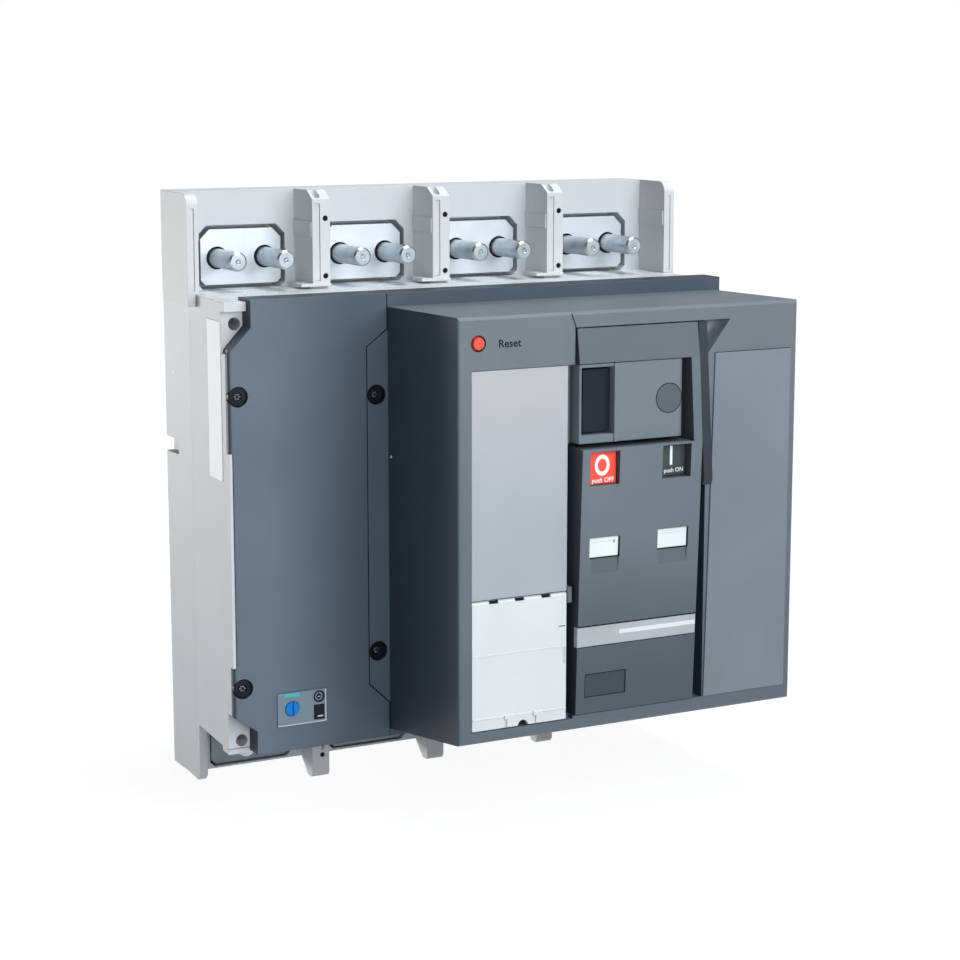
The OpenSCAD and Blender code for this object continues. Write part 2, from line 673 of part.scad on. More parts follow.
module seal_lug(x) {
    span([x - 1, x + 1], [hinge_y - flap_t / 2 - 1.2, hinge_y], [trip_bottom + 1, trip_bottom + 7]);
    span([x - 2.4, x + 2.4], [hinge_y - flap_t / 2 - 1.2, hinge_y], [trip_bottom + 5, trip_bottom + 7]);
}

// Round reset button with a stem in its bore
module reset_button() {
    color("#f2574a") union() {
        bar_y(reset_x, -facia_d + 8, reset_z, reset_r, 7);
        bar_y(reset_x, -facia_d + 1.2, reset_z, reset_r - 0.5, 2);
    }
}

module panel_outline(grow) {
    polygon([[panel_x[0] - grow, panel_z[0] - grow], [panel_x[1] + grow, panel_z[0] - grow],
             [panel_x[1] + grow, panel_z[1] + grow], [panel_x[0] + panel_lean - grow, panel_z[1] + grow]]);
}

// Glossy panel at the right of the facia
module side_panel() {
    color(slate_light) slab(-facia_d + 2.2, 3) panel_outline(0);
}

// --- Mechanism ----------------------------------------------------------------------------------

// Side outline of the mechanism cover's face, down to the bay's floor
module mech_outline() {
    polygon([[mech_back, mech_bottom], [-facia_d - bulge(mech_bottom), mech_bottom],
             [-facia_d - mech_bulge, ledge_z], [-facia_d - 3, band_z],
             [-facia_d - bulge(mech_top), mech_top], [mech_back, mech_top]]);
}

// A straight opening through the mechanism cover's face
module mech_window(x, z, floor_y) {
    span(x, [-facia_d - 20, floor_y], z);
}

// A shallow ramp that runs down from the lower edge of a window
module sill(x, z) {
    face_y = -facia_d - bulge(z);
    profile(x[0] + 0.6, x[1] - x[0] - 1.2)
        polygon([[face_y + sill_t, z + eps], [-facia_d - bulge(z - sill_h), z - sill_h],
                 [face_y - 5, z - sill_h], [face_y - 5, z + eps]]);
}

// Mechanism cover: band, right rail and push button face in one moulding
module mechanism_cover() {
    color(slate) difference() {
        profile(mech_x, mech_w) mech_outline();
        span([mech_x - cut, mech_right - 5], [-facia_d - 20, mech_back + cut], [ledge_z, band_z]);
        mech_window(off_x, off_z, button_floor);
        mech_window(on_x, on_z, button_floor);
        mech_window(state_x, state_z, window_floor);
        mech_window(spring_x, spring_z, window_floor);
        sill(state_x, state_z[0]);
        sill(spring_x, spring_z[0]);
        mech_window([mech_x - cut, mech_right + cut], stripe_z, window_floor);
        mech_window(counter_x, counter_z, window_floor);
        bar_x(mech_right, pivot_y, pivot_z, pin_dia / 2 + 0.1, 6.2);
    }
}

// Plate over the locks, with a window and a raised rail at its left and a rolled right edge
module lock_plate() {
    color(slate_light) difference() {
        union() {
            span([mech_x, lock_right - 4], [lock_y, mech_back], lock_z);
            span([lock_right - 4 - eps, lock_right], [lock_y + 4, mech_back], lock_z);
            span([lock_win_x[1], lock_win_x[1] + lock_rail], [lock_y - 0.8, lock_y + cut], lock_z);
            translate([lock_right - 4, lock_y + 4, lock_z[0]])
                cylinder(r = 4, h = lock_z[1] - lock_z[0], $fn = 48);
        }
        span(lock_win_x, [lock_y - cut, lock_y + 9], [lock_z[0] + 4, lock_z[1] - 1.5]);
        bar_y(cap_x, lock_y + 1.2, cap_z, cap_r + 0.15, 3);
    }
}

// Sliding piece that shows in the lock plate's window
module lock_slide() {
    color("#2a3038") span([lock_win_x[0] + 3, lock_win_x[1]], [lock_y + 4, lock_y + 9],
                          [lock_z[0] + 5, lock_z[1] - 3]);
}

// Round knock-out for a key lock
module keylock_cap() {
    color(slate_light) bar_y(cap_x, lock_y + 1.2, cap_z, cap_r, 1.2);
}

// A push button: square body with its face set back from the cover by inset
module push_button(x, z, inset) {
    face_y = -facia_d - bulge((z[0] + z[1]) / 2) + inset;
    span([x[0] + gap, x[1] - gap], [face_y, button_floor - button_travel - 1], [z[0] + gap, z[1] - gap]);
}

module off_button() { color("#f2574a") push_button(off_x, off_z, 3.4); }
module on_button() { color("#202428") push_button(on_x, on_z, 5.6); }

// A window that follows the slope of the cover's face, set back by inset
module face_piece(x, z, inset) {
    profile(x[0], x[1] - x[0])
        polygon([[window_floor, z[0]], [-facia_d - bulge(z[0]) + inset, z[0]],
                 [-facia_d - bulge(z[1]) + inset, z[1]], [window_floor, z[1]]]);
}

module state_window() { color("#e9edf0") face_piece(state_x, state_z, 1.2); }
module spring_window() { color("#e9edf0") face_piece(spring_x, spring_z, 1.2); }
module trim_stripe() { color("#a9adb2") face_piece([mech_x, mech_right], stripe_z, 0.3); }
module counter_cap() { color(slate) face_piece(counter_x, counter_z, 0.3); }

// Spring charging handle, pivoted at its lower end in the slot beside the mechanism cover
module charging_handle() {
    x0 = mech_right + 0.6;
    tip = mech_top;
    color(slate_light) union() {
        profile(x0, handle_w)
            polygon([[-facia_d - 0.2, tip], [-facia_d - 7.8, pivot_z - 5], [-facia_d - 6.6, pivot_z - 8],
                     [pivot_y + 2, pivot_z - 8], [pivot_y + 5, pivot_z - 4], [-facia_d + 8, tip]]);
        bar_x(x0 + handle_w / 2, pivot_y, pivot_z, pin_dia / 2, handle_w + 5);
    }
}

rear_base();
pole_chambers();
end_shield_left();
end_shield_right();
phase_barrier_1();
phase_barrier_2();
phase_barrier_3();
lower_barrier_1();
lower_barrier_2();
lower_barrier_3();
upper_pads();
lower_pads();
upper_studs();
lower_studs();
neutral_cover();
three_pole_cover();
cover_screws();
selector_plate();
selector_dial();
side_label();
facia();
trip_unit();
settings_panel();
settings_cover();
reset_button();
mechanism_cover();
lock_plate();
lock_slide();
keylock_cap();
off_button();
on_button();
state_window();
spring_window();
trim_stripe();
counter_cap();
charging_handle();
side_panel();
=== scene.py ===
# %% [markdown]
# # A moulded case circuit breaker, finished in Blender
# A breaker of this kind is a stack of mouldings: a light grey base with open bays for the cables at
# the top, dark covers over the poles, and a deep facia that carries the push buttons, the trip unit
# and the charging handle. The exact solids come from the CAD model. This lesson gives each of them
# its finish, adds the small things that CAD leaves out, such as threads and lettering, and lights
# the whole like a catalogue picture.

# %% Load the CAD model as a fixed frame
import json
import math
import bpy
from mathutils import Matrix, Vector

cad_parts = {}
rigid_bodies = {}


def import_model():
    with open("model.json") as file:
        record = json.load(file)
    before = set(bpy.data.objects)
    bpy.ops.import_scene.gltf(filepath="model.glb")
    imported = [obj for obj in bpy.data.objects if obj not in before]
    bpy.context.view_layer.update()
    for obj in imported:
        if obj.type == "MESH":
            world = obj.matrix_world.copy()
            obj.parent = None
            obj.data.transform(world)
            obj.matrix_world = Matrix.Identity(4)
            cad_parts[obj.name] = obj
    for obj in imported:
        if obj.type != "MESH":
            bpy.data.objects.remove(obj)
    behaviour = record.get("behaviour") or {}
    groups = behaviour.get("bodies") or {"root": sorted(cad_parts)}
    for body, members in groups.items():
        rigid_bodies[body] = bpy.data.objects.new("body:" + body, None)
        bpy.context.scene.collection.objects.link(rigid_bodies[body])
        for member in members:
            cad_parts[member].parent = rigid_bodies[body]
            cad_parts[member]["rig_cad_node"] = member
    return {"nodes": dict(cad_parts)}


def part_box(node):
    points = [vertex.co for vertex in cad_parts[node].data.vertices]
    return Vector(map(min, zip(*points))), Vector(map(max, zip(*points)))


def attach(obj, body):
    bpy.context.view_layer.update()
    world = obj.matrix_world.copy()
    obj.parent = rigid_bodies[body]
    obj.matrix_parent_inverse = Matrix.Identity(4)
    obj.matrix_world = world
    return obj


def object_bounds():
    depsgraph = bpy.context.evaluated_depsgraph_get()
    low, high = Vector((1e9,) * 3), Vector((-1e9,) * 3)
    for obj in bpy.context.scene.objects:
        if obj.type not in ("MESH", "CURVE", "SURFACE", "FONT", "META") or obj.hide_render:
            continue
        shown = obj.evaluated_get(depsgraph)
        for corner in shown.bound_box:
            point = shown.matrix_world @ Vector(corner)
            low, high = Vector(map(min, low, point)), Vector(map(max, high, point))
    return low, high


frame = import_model()
nodes = frame["nodes"]
cad_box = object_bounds()
mm = 0.001
print("CAD nodes:", len(nodes), "box:", [tuple(round(v, 4) for v in corner) for corner in cad_box])

# %% [markdown]
# ## The camera
# The product is seen from its left and a little from above, with a long lens, so that its edges
# stay nearly parallel. A camera could be turned with Euler angles. Here its three axes are written
# down and become the columns of its matrix, because then the viewing direction can be read off.

# %% Camera
eye = Vector((-556.2, -1147.0, 215.8)) * mm
ahead = Vector((0.4593, 0.8708, -0.1753)).normalized()
rightward = ahead.cross(Vector((0, 0, 1))).normalized()
upward = rightward.cross(ahead)

bpy.ops.object.select_all(action="DESELECT")
bpy.ops.object.camera_add(location=eye)
camera = bpy.context.object
camera.name = "camera"
camera.rotation_euler = Matrix((rightward, upward, -ahead)).transposed().to_euler()
camera.data.sensor_width = 36.0
camera.data.lens = 86.06
camera.data.clip_end = 60
bpy.context.scene.camera = camera
print("camera looks along", [round(v, 3) for v in ahead])

# %% [markdown]
# ## The studio
# White surroundings are a matter of what the camera gets to see, and not of more light on the
# product. So the world is white for camera and transmission rays, a middle grey for glossy ones, and
# dim for the rays that light a surface. The grey is darker at the front left, as in a studio where a
# black card stands there, which helps to keep the facia's flank deep.

# %% World
scene = bpy.context.scene
scene.view_settings.view_transform = "Standard"
world = bpy.data.worlds.new("studio_world")
scene.world = world
world.use_nodes = True
sky = world.node_tree.nodes
sky_links = world.node_tree.links
backdrop_white = sky["Background"]
backdrop_white.inputs["Color"].default_value = (1, 1, 1, 1)
backdrop_white.inputs["Strength"].default_value = 1.0
room_fill = sky.new("ShaderNodeBackground")
room_fill.inputs["Color"].default_value = (0.86, 0.96, 1.0, 1)
room_fill.inputs["Strength"].default_value = 0.09
mirror_room = sky.new("ShaderNodeBackground")
mirror_room.inputs["Strength"].default_value = 1.0
rays = sky.new("ShaderNodeLightPath")
seen = sky.new("ShaderNodeMath")
seen.operation = "MAXIMUM"
sky_links.new(rays.outputs["Is Camera Ray"], seen.inputs[0])
sky_links.new(rays.outputs["Is Transmission Ray"], seen.inputs[1])

# The card at the front left: a soft step in the world's own direction coordinates.
sky_place = sky.new("ShaderNodeTexCoord")
card_side = sky.new("ShaderNodeVectorMath")
card_side.operation = "DOT_PRODUCT"
card_side.inputs[1].default_value = (-0.80, -0.58, -0.15)
sky_links.new(sky_place.outputs["Generated"], card_side.inputs[0])
card_shade = sky.new("ShaderNodeMapRange")
card_shade.inputs["From Min"].default_value = 0.15
card_shade.inputs["From Max"].default_value = 0.75
card_shade.inputs["To Min"].default_value = 0.55
card_shade.inputs["To Max"].default_value = 0.03
sky_links.new(card_side.outputs["Value"], card_shade.inputs["Value"])
card_grey = sky.new("ShaderNodeCombineColor")
for channel in ("Red", "Green", "Blue"):
    sky_links.new(card_shade.outputs["Result"], card_grey.inputs[channel])
sky_links.new(card_grey.outputs["Color"], mirror_room.inputs["Color"])

glossy_mix = sky.new("ShaderNodeMixShader")
sky_links.new(rays.outputs["Is Glossy Ray"], glossy_mix.inputs["Fac"])
sky_links.new(room_fill.outputs[0], glossy_mix.inputs[1])
sky_links.new(mirror_room.outputs[0], glossy_mix.inputs[2])
seen_mix = sky.new("ShaderNodeMixShader")
sky_links.new(seen.outputs[0], seen_mix.inputs["Fac"])
sky_links.new(glossy_mix.outputs[0], seen_mix.inputs[1])
sky_links.new(backdrop_white.outputs[0], seen_mix.inputs[2])
sky_links.new(seen_mix.outputs[0], sky["World Output"].inputs["Surface"])

# %% [markdown]
# The softboxes are area lamps. An area lamp of power P lights a surface that faces it at distance r
# with P / (pi r squared), and a colour renders as it is written where that equals pi. So each box is
# given as a share of that level, and the helper works out the watts.

# %% Softboxes
middle = Vector((0, -90, 0)) * mm


def softbox(name, direction, distance, size, share, tint):
    """An area lamp that gives a surface facing it that share of the plain level."""
    place = middle + Vector(direction).normalized() * distance
    bpy.ops.object.select_all(action="DESELECT")
    bpy.ops.object.light_add(type="AREA", location=place)
    lamp = bpy.context.object
    lamp.name = name
    lamp.rotation_euler = (middle - place).to_track_quat("-Z", "Y").to_euler()
    lamp.data.shape = "RECTANGLE"
    lamp.data.size, lamp.data.size_y = size
    lamp.data.energy = share * math.pi ** 2 * distance ** 2
    lamp.data.color = tint
    lamp.visible_camera = False
    print(name, round(lamp.data.energy, 1), "W")
    return lamp


# Two boxes stand near, in front: the key at the upper right, and a narrow one at the left that
# fills the shadow that the facia throws on the cover beside it. The far ones light the rear and top.
daylight = (0.97, 1.0, 1.03)
softbox("key_box", (0.34, -1.0, 0.52), 0.80, (0.40, 0.40), 0.42, daylight)
softbox("front_box", (-0.28, -1.0, 0.26), 0.85, (0.20, 0.40), 0.37, daylight)
softbox("rear_box", (-1.0, 1.05, -0.03), 1.7, (0.9, 0.24), 0.56, (1.0, 0.99, 0.98))
softbox("top_box", (0.15, -0.15, 1.0), 1.6, (0.7, 0.5), 0.80, daylight)

# %% [markdown]
# The floor is a plain pale sheet at the level of the feet. To the camera and to polished metal it
# gives most of its white by itself and takes the rest from the lamps, so that a soft shadow stays.
# For light that bounces it is a dull grey with a faint glow, which lifts the feet and the undersides
# a little, as a white table does.

# %% Floor
floor_level = cad_box[0].z
bpy.ops.object.select_all(action="DESELECT")
bpy.ops.mesh.primitive_plane_add(size=60, location=(0, 0, floor_level))
floor = bpy.context.object
floor.name = "studio_floor"
bpy.ops.object.mode_set(mode="EDIT")
bpy.ops.mesh.select_all(action="SELECT")
bpy.ops.mesh.subdivide(number_cuts=7)
bpy.ops.object.mode_set(mode="OBJECT")
bpy.ops.object.transform_apply(location=True, rotation=True, scale=True)

sheet = bpy.data.materials.new("studio_sheet")
sheet.use_nodes = True
sheet_nodes, sheet_links = sheet.node_tree.nodes, sheet.node_tree.links
sheet_nodes.remove(sheet_nodes["Principled BSDF"])
paper = sheet_nodes.new("ShaderNodeBsdfDiffuse")
paper.inputs["Color"].default_value = (0.50, 0.51, 0.52, 1)
bounce = sheet_nodes.new("ShaderNodeEmission")
bounce.inputs["Strength"].default_value = 0.16
dull = sheet_nodes.new("ShaderNodeAddShader")
sheet_links.new(paper.outputs[0], dull.inputs[0])
sheet_links.new(bounce.outputs[0], dull.inputs[1])
lit = sheet_nodes.new("ShaderNodeBsdfDiffuse")
lit.inputs["Color"].default_value = (0.20, 0.20, 0.20, 1)
own = sheet_nodes.new("ShaderNodeEmission")
own.inputs["Color"].default_value = (1, 1, 1, 1)
far = sheet_nodes.new("ShaderNodeVectorMath")
far.operation = "LENGTH"
spot = sheet_nodes.new("ShaderNodeTexCoord")
sheet_links.new(spot.outputs["Object"], far.inputs[0])
fade = sheet_nodes.new("ShaderNodeMapRange")
fade.inputs["From Min"].default_value = 0.25
fade.inputs["From Max"].default_value = 2.2
fade.inputs["To Min"].default_value = 0.90
fade.inputs["To Max"].default_value = 1.0
sheet_links.new(far.outputs["Value"], fade.inputs["Value"])
sheet_links.new(fade.outputs["Result"], own.inputs["Strength"])
both = sheet_nodes.new("ShaderNodeAddShader")
sheet_links.new(lit.outputs[0], both.inputs[0])
sheet_links.new(own.outputs[0], both.inputs[1])
floor_rays = sheet_nodes.new("ShaderNodeLightPath")
direct = sheet_nodes.new("ShaderNodeMath")
direct.operation = "MAXIMUM"
sheet_links.new(floor_rays.outputs["Is Camera Ray"], direct.inputs[0])
sheet_links.new(floor_rays.outputs["Is Transmission Ray"], direct.inputs[1])
mirrored = sheet_nodes.new("ShaderNodeMath")
mirrored.operation = "MAXIMUM"
sheet_links.new(direct.outputs[0], mirrored.inputs[0])
sheet_links.new(floor_rays.outputs["Is Glossy Ray"], mirrored.inputs[1])
switch = sheet_nodes.new("ShaderNodeMixShader")
sheet_links.new(mirrored.outputs[0], switch.inputs["Fac"])
sheet_links.new(dull.outputs[0], switch.inputs[1])
sheet_links.new(both.outputs[0], switch.inputs[2])
sheet_links.new(switch.outputs[0], sheet_nodes["Material Output"].inputs["Surface"])
floor.data.materials.append(sheet)
print("floor at", round(floor_level, 4))

# %% [markdown]
# ## The finishes
# Moulded plastic is never quite even: the pigment drifts a little and the mould leaves a fine spark
# grain. The edges are painted a shade lighter: a painted highlight along them, with a little rubbing.
# The helper below makes such a finish. The drift and the grain are noise on Object coordinates, at
# real sizes in metres. The lighter edge comes from the Bevel node: where its rounded normal leaves
# the true one, the surface is near an edge. The same rounded normal, under the grain, makes crisp
# CAD edges catch the light as real ones do.

# %% Helper for moulded plastic


def moulded(name, dark, light, rough, grain=0.5, depth=0.012, drift=45.0, rub_and_highlight=0.35, edge=0.5, gloss=0.5):
    """A moulded plastic. Sizes are in millimetres, colours are linear."""
    finish = bpy.data.materials.new(name)
    finish.use_nodes = True
    n, link = finish.node_tree.nodes, finish.node_tree.links.new
    shader = n["Principled BSDF"]
    shader.inputs["Specular IOR Level"].default_value = gloss
    place = n.new("ShaderNodeTexCoord")
    cloud = n.new("ShaderNodeTexNoise")
    cloud.inputs["Scale"].default_value = 1 / (drift * mm)
    cloud.inputs["Detail"].default_value = 3
    link(place.outputs["Object"], cloud.inputs["Vector"])
    speck = n.new("ShaderNodeTexNoise")
    speck.inputs["Scale"].default_value = 1 / (grain * mm)
    speck.inputs["Detail"].default_value = 2
    link(place.outputs["Object"], speck.inputs["Vector"])
    sway = n.new("ShaderNodeMath")
    sway.operation = "MULTIPLY_ADD"
    sway.inputs[1].default_value = 0.25
    link(speck.outputs["Fac"], sway.inputs[0])
    link(cloud.outputs["Fac"], sway.inputs[2])
    spread = n.new("ShaderNodeMapRange")
    spread.inputs["From Min"].default_value = 0.40
    spread.inputs["From Max"].default_value = 0.85
    link(sway.outputs[0], spread.inputs["Value"])
    pigment = n.new("ShaderNodeMix")
    pigment.data_type = "RGBA"
    pigment.inputs["A"].default_value = (*dark, 1)
    pigment.inputs["B"].default_value = (*light, 1)
    link(spread.outputs["Result"], pigment.inputs["Factor"])
    # The edge is painted lighter than the flat: a painted highlight, with rubbing.
    rounded = n.new("ShaderNodeBevel")
    rounded.samples = 4
    rounded.inputs["Radius"].default_value = edge * mm
    true_face = n.new("ShaderNodeNewGeometry")
    meet = n.new("ShaderNodeVectorMath")
    meet.operation = "DOT_PRODUCT"
    link(rounded.outputs["Normal"], meet.inputs[0])
    link(true_face.outputs["Normal"], meet.inputs[1])
    near_edge = n.new("ShaderNodeMapRange")
    near_edge.inputs["From Min"].default_value = 0.995
    near_edge.inputs["From Max"].default_value = 0.80
    near_edge.inputs["To Max"].default_value = rub_and_highlight
    link(meet.outputs["Value"], near_edge.inputs["Value"])
    rubbed_and_highlit_edge = n.new("ShaderNodeMix")
    rubbed_and_highlit_edge.data_type = "RGBA"
    rubbed_and_highlit_edge.inputs["B"].default_value = (*[min(1.0, c * 1.25 + 0.04) for c in light], 1)
    link(near_edge.outputs["Result"], rubbed_and_highlit_edge.inputs["Factor"])
    link(pigment.outputs["Result"], rubbed_and_highlit_edge.inputs["A"])
    link(rubbed_and_highlit_edge.outputs["Result"], shader.inputs["Base Color"])
    dulled = n.new("ShaderNodeMapRange")
    dulled.inputs["To Min"].default_value = rough - 0.05
    dulled.inputs["To Max"].default_value = rough + 0.06
    link(cloud.outputs["Fac"], dulled.inputs["Value"])
    link(dulled.outputs["Result"], shader.inputs["Roughness"])
    skin = n.new("ShaderNodeBump")
    skin.inputs["Strength"].default_value = 0.6
    skin.inputs["Distance"].default_value = depth * mm
    link(speck.outputs["Fac"], skin.inputs["Height"])
    link(rounded.outputs["Normal"], skin.inputs["Normal"])
    link(skin.outputs["Normal"], shader.inputs["Normal"])
    return finish


def give(finish, *names):
    """Puts a finish on CAD nodes, or on new pieces."""
    for name in names:
        piece = nodes.get(name) or bpy.data.objects[name]
        piece.data.materials.clear()
        piece.data.materials.append(finish)


# %% [markdown]
# ### Plastics of the case
# The base, its chambers and its barriers are a light grey thermoset, dry to the eye. The covers and
# the facia are slate grey, a little smoother. Each gets its own pair of shades, close together.

# %% Case and cover plastics
thermoset = dict(rough=0.50, grain=0.4, rub_and_highlight=0.30)
case_resin = moulded("case_resin", (0.620, 0.634, 0.644), (0.668, 0.682, 0.692), **thermoset)
# The shields get a copy of the case resin that carries painted shade on their left flank.
shield_resin_shaded = moulded("shield_resin_shaded", (0.620, 0.632, 0.640), (0.668, 0.680, 0.688), **thermoset)
chamber_resin = moulded("chamber_resin", (0.585, 0.608, 0.628), (0.632, 0.656, 0.676), **thermoset)
cover_slate = moulded("cover_slate", (0.110, 0.139, 0.179), (0.130, 0.163, 0.206),
                      0.50, rub_and_highlight=0.30, gloss=0.3)
facia_slate = moulded("facia_slate", (0.122, 0.143, 0.165), (0.141, 0.164, 0.188),
                      0.48, rub_and_highlight=0.30, gloss=0.4)
cover_face_slate = moulded("cover_face_slate", (0.121, 0.142, 0.166), (0.140, 0.163, 0.189),
                           0.50, rub_and_highlight=0.40, gloss=0.35)
lock_slate = moulded("lock_slate", (0.136, 0.160, 0.182), (0.156, 0.182, 0.206),
                     0.48, rub_and_highlight=0.40, gloss=0.4)
dark_resin = moulded("dark_resin", (0.021, 0.025, 0.033), (0.030, 0.036, 0.046),
                     0.50, rub_and_highlight=0.25, gloss=0.25)
# The lock slide's dark plastic, taken darker still as painted shade deep in its window.
slide_resin_shaded = moulded("slide_resin_shaded", (0.009, 0.013, 0.019), (0.015, 0.020, 0.027),
                     0.55, rub_and_highlight=0.2, gloss=0.15)
cap_slate = moulded("cap_slate", (0.078, 0.090, 0.108), (0.092, 0.106, 0.126),
                    0.48, rub_and_highlight=0.4, gloss=0.35)
knockout_slate = moulded("knockout_slate", (0.040, 0.054, 0.065), (0.050, 0.065, 0.078),
                         0.48, rub_and_highlight=0.3, gloss=0.25)
give(shield_resin_shaded, "end_shield_left", "end_shield_right")
give(case_resin, "phase_barrier_1", "phase_barrier_2",
     "phase_barrier_3", "lower_barrier_1", "lower_barrier_2", "lower_barrier_3")
give(chamber_resin, "rear_base", "pole_chambers")
give(cover_slate, "neutral_cover", "three_pole_cover")
give(facia_slate, "facia")
give(cover_face_slate, "mechanism_cover")
give(knockout_slate, "counter_cap")
give(lock_slate, "lock_plate")
give(cap_slate, "keylock_cap")
give(dark_resin, "charging_handle")
give(slide_resin_shaded, "lock_slide")

# %% [markdown]
# Some tones are set in the materials and not by the lamps, as painted shade. The surface normal picks
# the faces that look a given way, such as the facia's flank and the covers' top edge, and takes them to
# a share of their colour: painted shade. A ramp along one axis of Object space tones a front down: a
# painted falloff of the light. Both travel with the part, so under other light they stay where they
# are, as paint would.

# %% Painted shade on flanks and tops, and painted falloff along an axis


def paint_shade_facing(finish, direction, share, reach=(0.80, 0.98), tint=(1, 1, 1)):
    """Paints shade: takes a material down to that share of its colour on faces that look along a
    direction.
    """
    n, link = finish.node_tree.nodes, finish.node_tree.links.new
    shader = n["Principled BSDF"]
    plain = shader.inputs["Base Color"].links[0].from_socket
    surface = n.new("ShaderNodeNewGeometry")
    facing = n.new("ShaderNodeVectorMath")
    facing.operation = "DOT_PRODUCT"
    facing.inputs[1].default_value = direction
    link(surface.outputs["Normal"], facing.inputs[0])
    amount = n.new("ShaderNodeMapRange")
    amount.inputs["From Min"].default_value = reach[0]
    amount.inputs["From Max"].default_value = reach[1]
    link(facing.outputs["Value"], amount.inputs["Value"])
    painted_shade = n.new("ShaderNodeMix")
    painted_shade.data_type = "RGBA"
    painted_shade.blend_type = "MULTIPLY"
    painted_shade.inputs["B"].default_value = (*[share * part for part in tint], 1)
    link(amount.outputs["Result"], painted_shade.inputs["Factor"])
    link(plain, painted_shade.inputs["A"])
    link(painted_shade.outputs["Result"], shader.inputs["Base Color"])


def paint_shade_along(finish, axis, start, end, share):
    """Paints a falloff of light: runs a material from its full colour at start to a share of it at end,
    in mm along an axis.
    """
    n, link = finish.node_tree.nodes, finish.node_tree.links.new
    shader = n["Principled BSDF"]
    plain = shader.inputs["Base Color"].links[0].from_socket
    place = n.new("ShaderNodeTexCoord")
    axes = n.new("ShaderNodeSeparateXYZ")
    link(place.outputs["Object"], axes.inputs[0])
    fall = n.new("ShaderNodeMapRange")
    fall.interpolation_type = "SMOOTHSTEP"
    fall.inputs["From Min"].default_value = start * mm
    fall.inputs["From Max"].default_value = end * mm
    link(axes.outputs[axis], fall.inputs["Value"])
    painted_falloff = n.new("ShaderNodeMix")
    painted_falloff.data_type = "RGBA"
    painted_falloff.blend_type = "MULTIPLY"
    painted_falloff.inputs["B"].default_value = (share * 0.95, share, min(1, share * 1.05), 1)
    link(fall.outputs["Result"], painted_falloff.inputs["Factor"])
    link(plain, painted_falloff.inputs["A"])
    link(painted_falloff.outputs["Result"], shader.inputs["Base Color"])


# Painted shade: the flanks of the facia, covers, shields and chambers, the tops and the scoop are
# darkened in their colour. The facia and the mechanism cover darken downwards, and the cover darkens
# towards the facia as a painted shadow of it.
cool_shade_tint = (0.8, 1.0, 1.25)
paint_shade_facing(facia_slate, (-1, 0, 0), 0.30, tint=cool_shade_tint)
paint_shade_facing(facia_slate, (1, 0, 0), 0.45, tint=cool_shade_tint)
paint_shade_facing(facia_slate, (-0.60, -0.66, 0.46), 0.50, (0.90, 0.965))
paint_shade_facing(facia_slate, (0, 0, 1), 0.82)
paint_shade_facing(cover_slate, (0, 0, 1), 0.26)
paint_shade_facing(cover_slate, (-1, 0, 0), 0.30, (0.45, 0.80))
paint_shade_facing(cover_face_slate, (0, 0, 1), 0.72, (0.05, 0.12))
paint_shade_facing(cover_face_slate, (-1, 0, 0), 0.35)
paint_shade_facing(shield_resin_shaded, (-1, 0, 0), 0.82)
paint_shade_facing(chamber_resin, (-1, 0, 0), 0.74)
paint_shade_along(facia_slate, "Z", 95, -110, 0.78)
paint_shade_along(cover_face_slate, "Z", 10, -100, 0.52)
paint_shade_along(cover_slate, "X", -128, -70, 0.60)

# %% [markdown]
# The floor of the bays is shinier than its walls, and mirrors the pads above it in broken streaks.
# One level of one material is enough for that: a comparison on Object Z picks the floor, and the
# roughness drops there.

# %% The polished floor of the bays


def glaze(finish, level, rough):
    """Makes a material glossy on the horizontal surface at that level, in millimetres."""
    n, link = finish.node_tree.nodes, finish.node_tree.links.new
    shader = n["Principled BSDF"]
    dry = shader.inputs["Roughness"].links[0].from_socket
    place = n.new("ShaderNodeTexCoord")
    axes = n.new("ShaderNodeSeparateXYZ")
    link(place.outputs["Object"], axes.inputs[0])
    on_level = n.new("ShaderNodeMath")
    on_level.operation = "COMPARE"
    on_level.inputs[1].default_value = level * mm
    on_level.inputs[2].default_value = 0.2 * mm
    link(axes.outputs["Z"], on_level.inputs[0])
    stretch = n.new("ShaderNodeMapping")
    stretch.inputs["Scale"].default_value = (14, 75, 1)
    link(place.outputs["Object"], stretch.inputs["Vector"])
    streak = n.new("ShaderNodeTexNoise")
    streak.inputs["Scale"].default_value = 1.0
    streak.inputs["Detail"].default_value = 3
    link(stretch.outputs["Vector"], streak.inputs["Vector"])
    polish = n.new("ShaderNodeMapRange")
    polish.inputs["From Min"].default_value = 0.40
    polish.inputs["From Max"].default_value = 0.62
    polish.inputs["To Min"].default_value = rough
    polish.inputs["To Max"].default_value = rough + 0.22
    link(streak.outputs["Fac"], polish.inputs["Value"])
    chosen = n.new("ShaderNodeMix")
    link(on_level.outputs[0], chosen.inputs["Factor"])
    link(dry, chosen.inputs["A"])
    link(polish.outputs["Result"], chosen.inputs["B"])
    link(chosen.outputs["Result"], shader.inputs["Roughness"])


bay_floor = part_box("pole_chambers")[1].z / mm
glaze(chamber_resin, bay_floor, 0.22)
print("floor of the bays at", round(bay_floor, 2), "mm")

